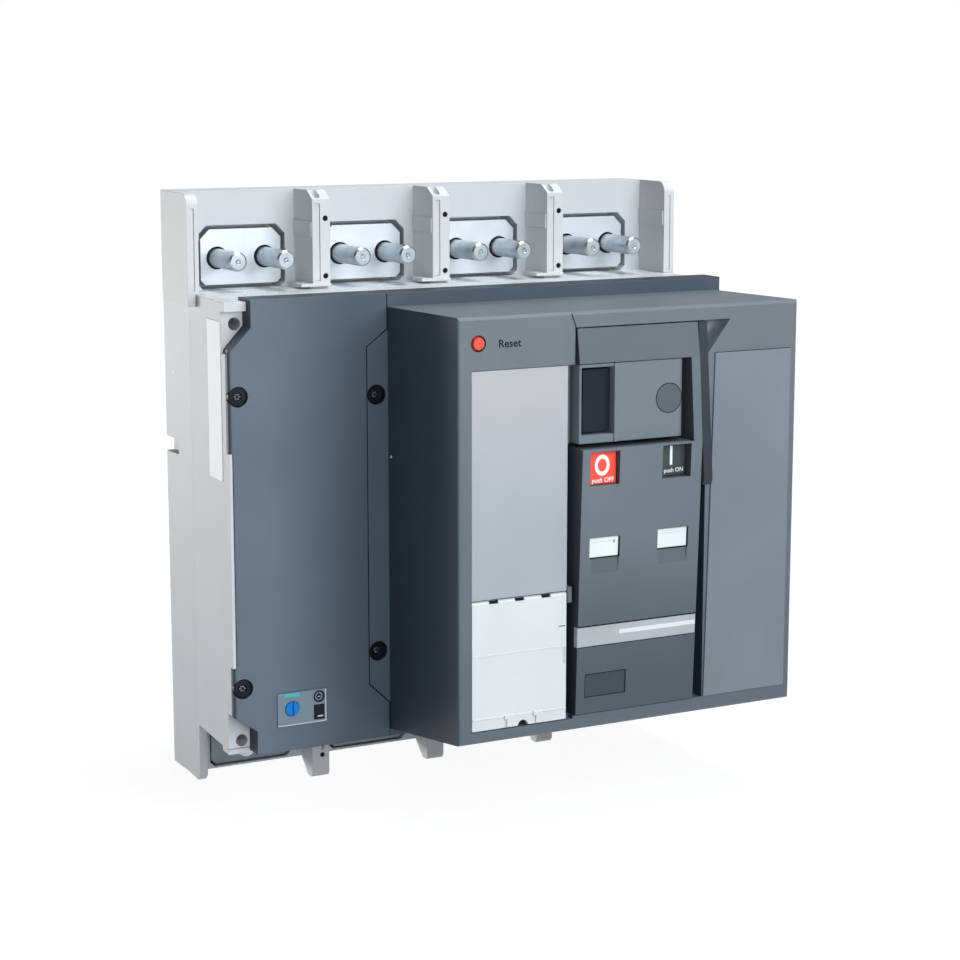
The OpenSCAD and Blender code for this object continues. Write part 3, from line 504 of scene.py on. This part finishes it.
# %% Facia plastics and labels
printed = dict(rub_and_highlight=0.0, edge=0.1)
gloss_panel = moulded("gloss_panel", (0.140, 0.162, 0.190), (0.186, 0.220, 0.264), 0.18, grain=0.3,
                      depth=0.001, drift=110, rub_and_highlight=0.5, gloss=0.6)
plate_grey = moulded("plate_grey", (0.150, 0.205, 0.258), (0.175, 0.235, 0.292), 0.40)
settings_grey = moulded("settings_grey", (0.30, 0.33, 0.36), (0.35, 0.38, 0.41), 0.45)
dial_blue = moulded("dial_blue", (0.001, 0.170, 0.56), (0.003, 0.200, 0.64), 0.45, gloss=0.25)
label_paper = moulded("label_paper", (0.86, 0.87, 0.88), (0.92, 0.93, 0.93), 0.60, grain=0.2, **printed)
trip_silver = moulded("trip_silver", (0.412, 0.420, 0.434), (0.450, 0.459, 0.473),
                      0.36, grain=0.3, rub_and_highlight=0.4)
button_red = moulded("button_red", (0.90, 0.072, 0.046), (0.97, 0.094, 0.062),
                     0.40, rub_and_highlight=0.2, gloss=0.35)
button_black = moulded("button_black", (0.045, 0.056, 0.056), (0.062, 0.075, 0.075),
                       0.42, rub_and_highlight=0.3, gloss=0.25)
window_white = moulded("window_white", (0.71, 0.76, 0.78), (0.78, 0.83, 0.85), 0.20, rub_and_highlight=0.0, edge=0.2)
stripe_silver = moulded("stripe_silver", (0.39, 0.41, 0.43), (0.45, 0.47, 0.49),
                        0.34, rub_and_highlight=0.2, edge=0.2)
stripe_bright = moulded("stripe_bright", (0.66, 0.69, 0.72), (0.74, 0.77, 0.80),
                        0.20, rub_and_highlight=0.2, edge=0.2)
ink_white = moulded("ink_white", (0.84, 0.86, 0.88), (0.90, 0.92, 0.93), 0.40, **printed)
# This black prints lettering and lines, and also paints shade in gaps, slots, holes and recesses.
black_ink_and_shade = moulded("black_ink_and_shade", (0.006, 0.008, 0.012), (0.012, 0.014, 0.019),
                    0.60, gloss=0.12, **printed)
mark_teal = moulded("mark_teal", (0.03, 0.40, 0.42), (0.05, 0.48, 0.50), 0.40, **printed)
# This pale grey prints small marks, and also paints highlights along the selector plate's edges.
pale_mark_and_highlight = moulded("pale_mark_and_highlight", (0.46, 0.52, 0.58), (0.54, 0.60, 0.66), 0.34, **printed)
give(gloss_panel, "side_panel")
give(plate_grey, "selector_plate")
give(settings_grey, "settings_panel")
give(dial_blue, "selector_dial")
give(label_paper, "side_label")
give(trip_silver, "trip_unit")
give(button_red, "reset_button", "off_button")
give(button_black, "on_button")
give(window_white, "state_window", "spring_window")
give(stripe_silver, "trim_stripe")
# Painted shade: the trip unit runs darker towards its foot, a painted falloff of the light.
paint_shade_along(trip_silver, "Z", 90, -25, 0.86)

# %% [markdown]
# ### Metals
# The terminal pads are tinned copper, rolled flat and a little cloudy. The studs are zinc plated
# steel with a rolled thread, which a wave along the stud gives as a bump: modelling each ridge would
# cost thousands of faces for something a tenth of a millimetre deep.

# %% Metal finishes
metal_edge = 0.4                        # radius that the Bevel node shows on a metal's edges, in mm
thread_depth = 0.10                     # height of a thread's ridges, in mm


def metal(name, dark, light, rough, streak, depth, thread=None):
    """A bare or plated metal with fine streaks, and a thread where a pitch is given."""
    finish = bpy.data.materials.new(name)
    finish.use_nodes = True
    n, link = finish.node_tree.nodes, finish.node_tree.links.new
    shader = n["Principled BSDF"]
    shader.inputs["Metallic"].default_value = 1.0
    place = n.new("ShaderNodeTexCoord")
    stretch = n.new("ShaderNodeMapping")
    stretch.inputs["Scale"].default_value = streak
    link(place.outputs["Object"], stretch.inputs["Vector"])
    brush = n.new("ShaderNodeTexNoise")
    brush.inputs["Scale"].default_value = 1.0
    brush.inputs["Detail"].default_value = 4
    link(stretch.outputs["Vector"], brush.inputs["Vector"])
    cloud = n.new("ShaderNodeTexNoise")
    cloud.inputs["Scale"].default_value = 90
    link(place.outputs["Object"], cloud.inputs["Vector"])
    tone = n.new("ShaderNodeMix")
    tone.data_type = "RGBA"
    tone.inputs["A"].default_value = (*dark, 1)
    tone.inputs["B"].default_value = (*light, 1)
    link(cloud.outputs["Fac"], tone.inputs["Factor"])
    link(tone.outputs["Result"], shader.inputs["Base Color"])
    dulled = n.new("ShaderNodeMapRange")
    dulled.inputs["To Min"].default_value = rough - 0.07
    dulled.inputs["To Max"].default_value = rough + 0.09
    link(brush.outputs["Fac"], dulled.inputs["Value"])
    link(dulled.outputs["Result"], shader.inputs["Roughness"])
    rounded = n.new("ShaderNodeBevel")
    rounded.samples = 4
    rounded.inputs["Radius"].default_value = metal_edge * mm
    skin = n.new("ShaderNodeBump")
    skin.inputs["Strength"].default_value = 0.5
    skin.inputs["Distance"].default_value = depth * mm
    link(brush.outputs["Fac"], skin.inputs["Height"])
    link(rounded.outputs["Normal"], skin.inputs["Normal"])
    last = skin
    if thread:
        ridge = n.new("ShaderNodeTexWave")
        ridge.bands_direction = "Y"
        ridge.wave_profile = "TRI"
        ridge.inputs["Scale"].default_value = 1 / (thread * mm) / 2
        link(place.outputs["Object"], ridge.inputs["Vector"])
        cut_in = n.new("ShaderNodeBump")
        cut_in.inputs["Strength"].default_value = 0.5
        cut_in.inputs["Distance"].default_value = thread_depth * mm
        link(ridge.outputs["Fac"], cut_in.inputs["Height"])
        link(skin.outputs["Normal"], cut_in.inputs["Normal"])
        last = cut_in
    link(last.outputs["Normal"], shader.inputs["Normal"])
    return finish


tinned_copper = metal("tinned_copper", (0.56, 0.60, 0.645), (0.66, 0.70, 0.74),
                      0.52, (60, 60, 900), 0.006)
# The lower pads take a darker copy of the tinned copper: painted shade in the lower bays.
shaded_copper = metal("shaded_copper", (0.15, 0.175, 0.20), (0.22, 0.25, 0.28),
                      0.55, (60, 60, 900), 0.006)
zinc_plate = metal("zinc_plate", (0.26, 0.31, 0.34), (0.66, 0.72, 0.76),
                   0.30, (330, 26, 330), 0.003, thread=1.5)
black_oxide = metal("black_oxide", (0.012, 0.014, 0.018), (0.028, 0.030, 0.036),
                    0.40, (600, 600, 600), 0.006)
# A bright steel for the screws' star drives, a painted highlight in them.
star_highlight_steel = metal("star_highlight_steel", (0.30, 0.32, 0.34), (0.42, 0.44, 0.46),
                     0.30, (600, 600, 600), 0.004)
give(tinned_copper, "upper_pads")
give(shaded_copper, "lower_pads")
give(zinc_plate, "upper_studs", "lower_studs")
give(black_oxide, "cover_screws")

# %% [markdown]
# ### The clear settings cover
# The flap is a milky polycarbonate: light goes in, but little is seen through it. Full transmission
# would show the dials sharply, so only a small part of it is used, with a rough surface.

# %% Clear cover
frosted = moulded("frosted_cover", (0.675, 0.700, 0.720), (0.730, 0.755, 0.775),
                  0.37, grain=0.8, depth=0.004, rub_and_highlight=0.5)
milky = frosted.node_tree.nodes["Principled BSDF"]
milky.inputs["Transmission Weight"].default_value = 0.08
milky.inputs["IOR"].default_value = 1.58            # of polycarbonate
give(frosted, "settings_cover")

# %% [markdown]
# ## Small pieces
# What is left is the detail that makes a product look made and not drawn: lettering, the screws'
# drives, marks on the selector, slits and lugs. A few helpers do the repeated work. Each starts from
# a primitive at its size and place, shapes it in edit mode, and puts the object's origin back at the
# frame's origin, so that the finish's noise runs on from piece to piece without a jump.

# %% Helpers for the small pieces
facia_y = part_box("facia")[0].y / mm
cover_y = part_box("three_pole_cover")[0].y / mm
sunk = 0.02                             # how far a printed mark starts inside the face it lies on, in mm
print_t = 0.08                          # thickness of the lettering
weld = 0.005                            # points of the lettering that are nearer than this become one
print("front of the facia", round(facia_y, 2), "and of the covers", round(cover_y, 2))


def settle(piece, name, finish, body):
    """Applies the piece's place, names it and hands it to its body and finish."""
    piece.name = name
    piece.data.name = name
    bpy.ops.object.transform_apply(location=True, rotation=True, scale=True)
    piece.data.materials.clear()
    piece.data.materials.append(finish)
    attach(piece, body)
    return piece


def slab(name, x, y, z, finish, body="breaker", round_off=0.05, tip=None):
    """A thin rounded bar or plate between two values on each axis, all in millimetres."""
    bpy.ops.object.select_all(action="DESELECT")
    centre = [sum(pair) / 2 * mm for pair in (x, y, z)]
    bpy.ops.mesh.primitive_cube_add(size=1, location=centre)
    piece = bpy.context.object
    piece.scale = [abs(pair[1] - pair[0]) * mm for pair in (x, y, z)]
    bpy.ops.object.transform_apply(location=False, rotation=False, scale=True)
    if tip:
        piece.rotation_euler = tip
    edge = piece.modifiers.new("edge", "BEVEL")
    edge.width = min(round_off, 0.3 * min(abs(pair[1] - pair[0]) for pair in (x, y, z))) * mm
    edge.segments = 2
    bpy.ops.object.modifier_apply(modifier="edge")
    return settle(piece, name, finish, body)


def ring(name, x, y, z, inner, outer, thick, finish, body="breaker", slot="dark_slate", squeeze=1.0):
    """A flat ring that lies on a face at y and stands out of it by its thickness."""
    bpy.ops.object.select_all(action="DESELECT")
    bpy.ops.mesh.primitive_circle_add(vertices=56, radius=outer * mm, fill_type="NGON",
                                      location=(x * mm, y * mm, z * mm), rotation=(math.pi / 2, 0, 0))
    piece = bpy.context.object
    bpy.ops.object.mode_set(mode="EDIT")
    bpy.ops.mesh.select_mode(type="FACE")
    bpy.ops.mesh.select_all(action="SELECT")
    bpy.ops.mesh.inset(thickness=(outer - inner) * mm)
    bpy.ops.mesh.delete(type="FACE")
    bpy.ops.mesh.select_all(action="SELECT")
    bpy.ops.mesh.extrude_region_move(TRANSFORM_OT_translate={"value": (0, -thick * mm, 0)})
    bpy.ops.mesh.select_all(action="SELECT")
    bpy.ops.mesh.normals_make_consistent(inside=False)
    bpy.ops.object.mode_set(mode="OBJECT")
    piece.scale = (squeeze, 1, 1)
    return settle(piece, name, finish, body)


def disc(name, x, y, z, radius, thick, finish, sides, slot="dark_slate", dish=0.0):
    """A flat button with a bevelled rim, its front face at y - thick, dished where dish is given."""
    bpy.ops.object.select_all(action="DESELECT")
    bpy.ops.mesh.primitive_cylinder_add(vertices=sides, radius=radius * mm, depth=thick * mm,
                                        location=(x * mm, (y - thick / 2) * mm, z * mm),
                                        rotation=(math.pi / 2, 0, 0))
    piece = bpy.context.object
    bpy.ops.object.transform_apply(location=True, rotation=True, scale=True)
    bpy.ops.object.mode_set(mode="EDIT")
    bpy.ops.mesh.select_mode(type="FACE")
    bpy.ops.mesh.select_all(action="DESELECT")
    bpy.ops.object.mode_set(mode="OBJECT")
    for face in piece.data.polygons:
        face.select = face.normal.y < -0.9
    bpy.ops.object.mode_set(mode="EDIT")
    bpy.ops.mesh.inset(thickness=min(0.25, radius * 0.2) * mm, depth=0.0)
    bpy.ops.mesh.inset(thickness=radius * 0.12 * mm, depth=-dish * mm)
    bpy.ops.object.mode_set(mode="OBJECT")
    return settle(piece, name, finish, "breaker")


def word(name, text, x, y, z, height, finish, body, bold, squeeze=1.0):
    """Raised lettering, centred at x and z on a face at y; bold makes its strokes that much thicker."""
    bpy.ops.object.select_all(action="DESELECT")
    bpy.ops.object.text_add()
    piece = bpy.context.object
    piece.data.body = text
    piece.data.size = height * mm
    piece.data.align_x = "CENTER"
    piece.data.align_y = "CENTER"
    piece.data.extrude = print_t / 2 * mm
    piece.data.offset = bold / 2 * mm
    piece.data.resolution_u = 3
    bpy.ops.object.convert(target="MESH")
    piece = bpy.context.object
    bpy.ops.object.mode_set(mode="EDIT")
    bpy.ops.mesh.select_all(action="SELECT")
    bpy.ops.mesh.remove_doubles(threshold=weld * mm)
    bpy.ops.mesh.normals_make_consistent(inside=False)
    bpy.ops.object.mode_set(mode="OBJECT")
    piece.scale = (squeeze, 1, 1)
    piece.rotation_euler = (math.pi / 2, 0, 0)
    piece.location = (x * mm, y * mm, z * mm)
    return settle(piece, name, finish, body)


# %% [markdown]
# ### Reset
# A dark ring round the red button paints the shade in the gap round it, and its one word is
# printed beside it in black.

# %% Painted shade ring round Reset, and its word
reset_low, reset_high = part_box("reset_button")
reset_x = (reset_low.x + reset_high.x) / 2 / mm
reset_z = (reset_low.z + reset_high.z) / 2 / mm
reset_r = (reset_high.x - reset_low.x) / 2 / mm
shade_ring_in, shade_ring_out = 0.15, 0.60      # how far the two edges of the painted shade ring lie outside the button
ring("reset_collar", reset_x, facia_y + 0.05, reset_z, reset_r + shade_ring_in, reset_r + shade_ring_out, 0.25,
     black_ink_and_shade)
word("reset_word", "Reset", -29.1, facia_y - 0.03, 86.4, 5.4, black_ink_and_shade, "breaker",
     bold=0.16, squeeze=1.02)

# %% [markdown]
# ### The push buttons
# OFF is marked with a ring and ON with a bar, the signs that every switch uses, with the two short
# words below them. They are printed, so they are thin, and ride on their buttons.

# %% Signs on the push buttons
off_low, off_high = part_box("off_button")
on_low, on_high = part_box("on_button")
off_x, off_z = (off_low.x + off_high.x) / 2 / mm, (off_low.z + off_high.z) / 2 / mm
on_x, on_z = (on_low.x + on_high.x) / 2 / mm, (on_low.z + on_high.z) / 2 / mm
off_y, on_y = off_low.y / mm, on_low.y / mm
sign_t = 0.14                           # how thick a sign is, with what is sunk in its button
ring("off_sign", off_x + 0.2, off_y + sunk, off_z + 1.2, 3.25, 5.3, sign_t, ink_white,
     "off", "button_red", squeeze=0.80)
word("off_word", "push OFF", off_x + 0.7, off_y - 0.02, off_z - 6.4, 3.3, ink_white,
     "off", bold=0.10)
slab("on_sign", (on_x - 0.75, on_x + 0.75), (on_y - sign_t, on_y + sunk), (on_z - 2.8, on_z + 7.0),
     ink_white, "on")
word("on_word", "push ON", on_x + 1.6, on_y - 0.02, on_z - 5.6, 3.1, ink_white,
     "on", bold=0.10)

# %% [markdown]
# ### Lock plate
# A fine dark groove runs round the knock-out for the key lock.

# %% Knock-out groove
cap_low, cap_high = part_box("keylock_cap")
cap_x, cap_z = (cap_low.x + cap_high.x) / 2 / mm, (cap_low.z + cap_high.z) / 2 / mm
cap_r = (cap_high.x - cap_low.x) / 2 / mm
lock_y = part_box("keylock_cap")[0].y / mm
ring("knockout_groove", cap_x, lock_y + 0.05, cap_z, cap_r - 0.25, cap_r + 0.2, 0.09, black_ink_and_shade)

# %% [markdown]
# ### Screws
# The covers are held by black screws. Each has a raised rim and a star drive: a ring and a star with
# six arms, made from a disc whose rim is drawn in between the arms. The star is a bright steel that
# paints a highlight in the drive, and a small black star on the face paints the shade in its socket.

# %% Screw rims and star drives
star_arms = 6
apart = 12                              # least distance between two solids of one node, in mm


def star(name, x, y, z, radius, thick, finish):
    """A flat star for a screw's drive."""
    bpy.ops.object.select_all(action="DESELECT")
    bpy.ops.mesh.primitive_cylinder_add(vertices=star_arms * 4, radius=radius * mm, depth=thick * mm,
                                        location=(0, 0, 0), rotation=(math.pi / 2, 0, 0))
    piece = bpy.context.object
    bpy.ops.object.transform_apply(location=True, rotation=True, scale=True)
    for vertex in piece.data.vertices:
        turn = math.atan2(vertex.co.z, vertex.co.x)
        reach = 0.72 + 0.28 * math.cos(star_arms * turn)
        vertex.co.x *= reach
        vertex.co.z *= reach
    piece.location = (x * mm, (y - thick / 2) * mm, z * mm)
    return settle(piece, name, finish, "breaker")


def solids(name):
    """Boxes of a node's separate solids, in millimetres: points that are near in X and Z share one."""
    groups = []
    for vertex in nodes[name].data.vertices:
        x, y, z = vertex.co / mm
        for group in groups:
            if math.hypot(x - group[0][0], z - group[0][2]) < apart:
                group.append((x, y, z))
                break
        else:
            groups.append([(x, y, z)])
    return [(tuple(map(min, zip(*g))), tuple(map(max, zip(*g)))) for g in groups]


for number, (low, high) in enumerate(solids("cover_screws"), 1):
    x, z = (low[0] + high[0]) / 2, (low[2] + high[2]) / 2
    ring(f"screw_rim_{number}", x, low[1] + 0.05, z, 2.3, 4.5, 0.35, black_oxide, slot="black_steel")
    # Painted highlight in the drive, and painted shade in its socket.
    star(f"screw_star_{number}", x, low[1] + 1.4, z, 1.9, 1.2, star_highlight_steel)
    star(f"screw_socket_{number}", x, low[1] + 0.18, z, 1.25, 0.2, black_ink_and_shade)
print("screws:", number)

# %% [markdown]
# ### Terminal studs
# A stud is pressed into its pad, and a narrow gap is left round its root. A dark ring on the pad
# paints that gap and the shade round the root.

# %% Gaps and painted shade round the studs
root_gap_and_shade = (5.0, 6.0)                   # inner and outer radius of a dark ring of gap and painted shade


def join(name, pieces):
    """Joins like pieces into one, which keeps the first one's body and finish."""
    bpy.ops.object.select_all(action="DESELECT")
    for piece in pieces:
        piece.select_set(True)
    bpy.context.view_layer.objects.active = pieces[0]
    bpy.ops.object.join()
    pieces[0].name = name
    return pieces[0]


for row in ("upper", "lower"):
    pad_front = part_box(row + "_pads")[0].y / mm
    root_rings = []
    for low, high in solids(row + "_studs"):
        x, z = (low[0] + high[0]) / 2, (low[2] + high[2]) / 2
        root_rings.append(ring(f"{row}_gap_{len(root_rings)}", x, pad_front + 0.03, z, *root_gap_and_shade, 0.12, black_ink_and_shade,
                         slot="black_steel"))
    join(row + "_stud_gaps", root_rings)
    print(row, "studs:", len(root_rings))

# %% [markdown]
# ### Selector
# The selector's plate carries a coloured mark over the dial, a ringed sign and a dark square. Pale
# strips along its right and lower edges are a painted highlight.

# %% Marks on the selector
plate_low, plate_high = (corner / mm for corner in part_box("selector_plate"))
plate_y = plate_low.y
left, right = plate_low.x, plate_high.x
foot, head = plate_low.z, plate_high.z
sign_x, sign_z = right - 4, head - 3.8
set_in = 0.42                           # how far the ringed sign and the square are set into the plate
highlight_depth = (plate_y - 0.2, plate_y + sunk)
slab("selector_mark", (left + 3.7, left + 12), (plate_y - 0.12, plate_y + sunk),
     (head - 2.2, head - 0.5), mark_teal, round_off=0.04)
ring("selector_ring", sign_x, plate_y + set_in, sign_z, 2.3, 3.1, set_in, black_ink_and_shade)
disc("selector_sign", sign_x, plate_y + set_in, sign_z, 1.7, 0.40, black_ink_and_shade, sides=4)
slab("selector_cross", (sign_x - 0.8, sign_x + 0.8), (plate_y - 0.10, plate_y),
     (sign_z - 0.15, sign_z + 0.15), ink_white, round_off=0.03)
slab("selector_square", (right - 6.9, right - 1.1), (plate_y + 0.1, plate_y + set_in),
     (foot + 1.4, foot + 9.2), black_ink_and_shade)
slab("selector_dash", (right - 4.9, right - 1.8), (plate_y, plate_y + 0.12), (foot + 2.7, foot + 3.4),
     pale_mark_and_highlight, round_off=0.03)
# Painted highlight along the plate's right and lower edges.
slab("selector_edge_right", (right - 0.6, right - 0.05), highlight_depth, (foot + 0.1, head - 0.1),
     pale_mark_and_highlight, round_off=0.08)
slab("selector_edge_low", (left + 0.1, right - 0.6), highlight_depth, (foot + 0.05, foot + 0.6),
     pale_mark_and_highlight, round_off=0.08)

# %% [markdown]
# ### The settings cover
# Its hinge edge shows three slits, each with a black sheet at its back that paints the shade in it.
# A fine step and a ledge cross its face, a tick is printed at the right, and a grip is let into its
# right edge. All of them swing with the cover.

# %% Settings cover
trip_low, trip_high = (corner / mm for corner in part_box("trip_unit"))
hinge_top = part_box("settings_cover")[1].z / mm
flap_y = facia_y + 0.3
flap_left, flap_right = trip_low.x + 0.2, trip_high.x - 0.2
slits_from_left = (12.2, 26.7, 41.7)
slit_half = 2.5
# A black sheet at the back of each slit is painted shade.
for number, along in enumerate(slits_from_left, 1):
    x = trip_low.x + along
    slab(f"hinge_slit_{number}", (x - slit_half, x + slit_half), (flap_y + 0.72, flap_y + 1.1),
         (hinge_top - 1.7, hinge_top - 0.1), black_ink_and_shade, "flap")
slab("cover_step", (flap_left, flap_right), (flap_y - 0.22, flap_y + 0.1),
     (hinge_top - 27.9, hinge_top - 27.2), frosted, "flap", round_off=0.1)
slab("cover_ledge", (flap_left, flap_right), (flap_y - 0.45, flap_y + 0.1),
     (hinge_top - 60.1, hinge_top - 59.1), frosted, "flap", round_off=0.15)
slab("cover_tick", (flap_right - 4.3, flap_right - 0.6), (flap_y - 0.08, flap_y + sunk),
     (hinge_top - 17.4, hinge_top - 17.0), black_ink_and_shade, "flap", round_off=0.02)
slab("cover_grip", (flap_right - 1.6, flap_right - 0.3), (flap_y - 0.12, flap_y + 0.05),
     (hinge_top - 36.6, hinge_top - 27.4), pale_mark_and_highlight, "flap")

# %% [markdown]
# ### Behind the settings cover
# Six adjusting dials sit there. They show only when the cover is open, and still need a slot for
# the screwdriver and a scale, which is a white ring round each. The slot is a black bar, painted
# shade in it.

# %% Adjusting dials
panel_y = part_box("settings_panel")[0].y / mm
first_dial = (trip_low.x - 0.3 + 11, hinge_top - 18)
dial_step = (16, 24)
slot_half, slot_width_half = 3.4, 0.5
for row in range(2):
    for column in range(3):
        x = first_dial[0] + dial_step[0] * column
        z = first_dial[1] - dial_step[1] * row
        name = f"setting_{row + 1}_{column + 1}"
        turn = math.radians(35 + 40 * column - 65 * row)
        # The slot is a black bar: painted shade in the screwdriver's slot.
        slab(name + "_slot", (x - slot_half, x + slot_half), (panel_y - 0.1, panel_y + sunk),
             (z - slot_width_half, z + slot_width_half), black_ink_and_shade, tip=(0, turn, 0), round_off=0.04)
        ring(name + "_scale", x, panel_y + 2.24, z, 6.0, 6.5, 0.14, ink_white, slot="label_white")

# %% [markdown]
# ### Windows, stripe and knock-out
# The mechanism cover leans, so lines on it lean too: they are tipped back by the slope between the
# cover's lower edge and the ledge above the buttons. The windows have dark lines under them and at
# their right, painted shade in their recesses. The stripe has a dark seam above and a bright raised
# line along it, and the blank knock-out a fine outline.

# %% Lines on the sloping face
mech_low, mech_high = (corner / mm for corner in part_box("mechanism_cover"))
stripe_low, stripe_high = (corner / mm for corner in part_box("trim_stripe"))
counter_low, counter_high = (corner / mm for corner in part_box("counter_cap"))
slope = (stripe_low.y - counter_low.y) / (stripe_high.z - counter_high.z)
lean = math.atan(-slope)
print("the face leans by", round(math.degrees(lean), 2), "degrees")


def face_at(z):
    """Y of the sloping face at a level, in millimetres."""
    return counter_low.y - 0.3 + slope * (z - counter_high.z)


def face_line(name, x, z, out, finish, thick=0.3):
    """A line on the sloping face that stands out of it by out."""
    middle_y = face_at(sum(z) / 2) - out + thick / 2
    return slab(name, x, (middle_y - thick / 2, middle_y + thick / 2), z, finish,
                tip=(lean, 0, 0))


in_window = -0.75                       # the windows lie back, so what edges them stands in by this
# The dark lines under each window and at its right are painted shade in the window's recess.
for name in ("state_window", "spring_window"):
    low, high = (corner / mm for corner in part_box(name))
    face_line(name + "_sill", (low.x, high.x), (low.z - 0.1, low.z + 0.55), in_window, black_ink_and_shade,
              thick=0.4)
    face_line(name + "_edge", (high.x - 0.4, high.x), (low.z, high.z), in_window, black_ink_and_shade, thick=0.4)
    face_line(name + "_rule", (low.x + 2.2, high.x - 3.8), (high.z - 2.6, high.z - 2.3), -1.13,
              pale_mark_and_highlight, thick=0.1)
low, high = (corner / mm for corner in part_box("state_window"))
face_line("state_mark", (high.x - 3.4, high.x - 2.2), (high.z - 3.6, high.z - 1.8), -1.12,
          settings_grey, thick=0.1)
seam_x = (mech_low.x + 0.1, mech_high.x - 0.1)
face_line("stripe_seam", seam_x, (stripe_high.z - 0.1, stripe_high.z + 0.6), 0.06, black_ink_and_shade)
face_line("stripe_foot", seam_x, (stripe_low.z - 0.25, stripe_low.z + 0.1), 0.05, black_ink_and_shade)
face_line("stripe_line", (mech_low.x + 24, mech_high.x - 0.3), (stripe_high.z - 5.5, stripe_high.z - 3.3),
          0.12, stripe_bright, thick=0.5)
outline = 0.04
for side, x in (("left", (counter_low.x - 0.15, counter_low.x + 0.25)),
                ("right", (counter_high.x - 0.25, counter_high.x + 0.25))):
    face_line("knockout_" + side, x, (counter_low.z, counter_high.z), outline, black_ink_and_shade)
for side, z in (("foot", (counter_low.z - 0.1, counter_low.z + 0.2)),
                ("head", (counter_high.z - 0.25, counter_high.z + 0.2))):
    face_line("knockout_" + side, (counter_low.x, counter_high.x), z, outline, black_ink_and_shade)

# %% [markdown]
# ### Lock window, side panel and small marks
# The slot beside the slide in the lock window holds a black sheet, painted shade for its deep gap.
# A dark seam closes the side panel at its right, and two small marks stand where the mould's ejector
# pins pressed.

# %% Painted shade in the lock gap, seams and pin marks
slide_low, slide_high = (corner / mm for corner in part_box("lock_slide"))
slab("lock_gap", (slide_low.x - 2.95, slide_low.x - 0.05), (slide_high.y - 1.2, slide_high.y - 0.1),
     (slide_low.z - 0.9, slide_high.z + 1.4), black_ink_and_shade)
panel_low, panel_high = (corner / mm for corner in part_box("side_panel"))
slab("panel_seam", (panel_high.x + 0.05, panel_high.x + 0.5), (facia_y - 0.06, facia_y + 0.3),
     (panel_low.z, panel_high.z), black_ink_and_shade, round_off=0.04)
facia_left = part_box("facia")[0].x / mm
slab("pin_mark_facia", (facia_left - 0.12, facia_left + sunk), (cover_y - 4.0, cover_y - 2.6),
     (21.3, 22.7), ink_white, round_off=0.04)
case_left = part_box("rear_base")[0].x / mm
slab("pin_mark_case", (case_left - 0.10, case_left + sunk), (-13.0, -10.6), (58.8, 61.2), pale_mark_and_highlight,
     round_off=0.03)

# %% [markdown]
# ### Channels
# The channels in the barriers' and shields' front edges are lined, which leaves them shallow.

# %% Linings of the channels
pole_pitch = 70
shield_channel_x = 142.15


def barrier_x(number):
    """X of a barrier's middle, in millimetres. The second one stands in the middle of the part."""
    return pole_pitch * (number - 2)


for number in (1, 2, 3):
    low, high = (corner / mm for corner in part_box(f"phase_barrier_{number}"))
    x = barrier_x(number)
    slab(f"barrier_{number}_lining", (x - 3.55, x - 0.65), (low.y + 1.6, low.y + 3.2),
         (bay_floor + 4.1, high.z - 6.9), case_resin, round_off=0.2)
for side, name in ((-1, "left"), (1, "right")):
    low, high = (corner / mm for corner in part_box("end_shield_" + name))
    x = side * shield_channel_x
    slab(f"shield_lining_{name}", (x - 0.85, x + 0.85), (low.y + 0.45, low.y + 1.45),
         (bay_floor + 2.1, high.z - 7.6), case_resin, round_off=0.15)

# %% [markdown]
# ### Barriers
# Each upper barrier has two holes in its front edge, and each lower one has one. A dark dished
# disc in each hole paints the shade in it.

# %% Painted shade in the barriers' holes
hole_shade = dict(slot="black_steel", sides=24, dish=0.3)
hole_shade_t = 0.9
for number in (1, 2, 3):
    low, high = (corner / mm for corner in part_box(f"phase_barrier_{number}"))
    x = barrier_x(number) + 2.4
    for place_name, z in (("low", bay_floor + 6.5), ("high", high.z - 14.5)):
        disc(f"barrier_{number}_rivet_{place_name}", x, low.y + 2.6, z, 1.42, hole_shade_t, black_ink_and_shade, **hole_shade)
    low, high = (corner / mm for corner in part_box(f"lower_barrier_{number}"))
    x = barrier_x(number) + 1.0
    disc(f"foot_{number}_rivet", x, low.y + 1.6, low.z + 12, 1.32, hole_shade_t, black_ink_and_shade, **hole_shade)
added = [o for o in bpy.data.objects if o.type == "MESH" and "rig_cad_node" not in o and o is not floor]
print("pieces added:", len(added))
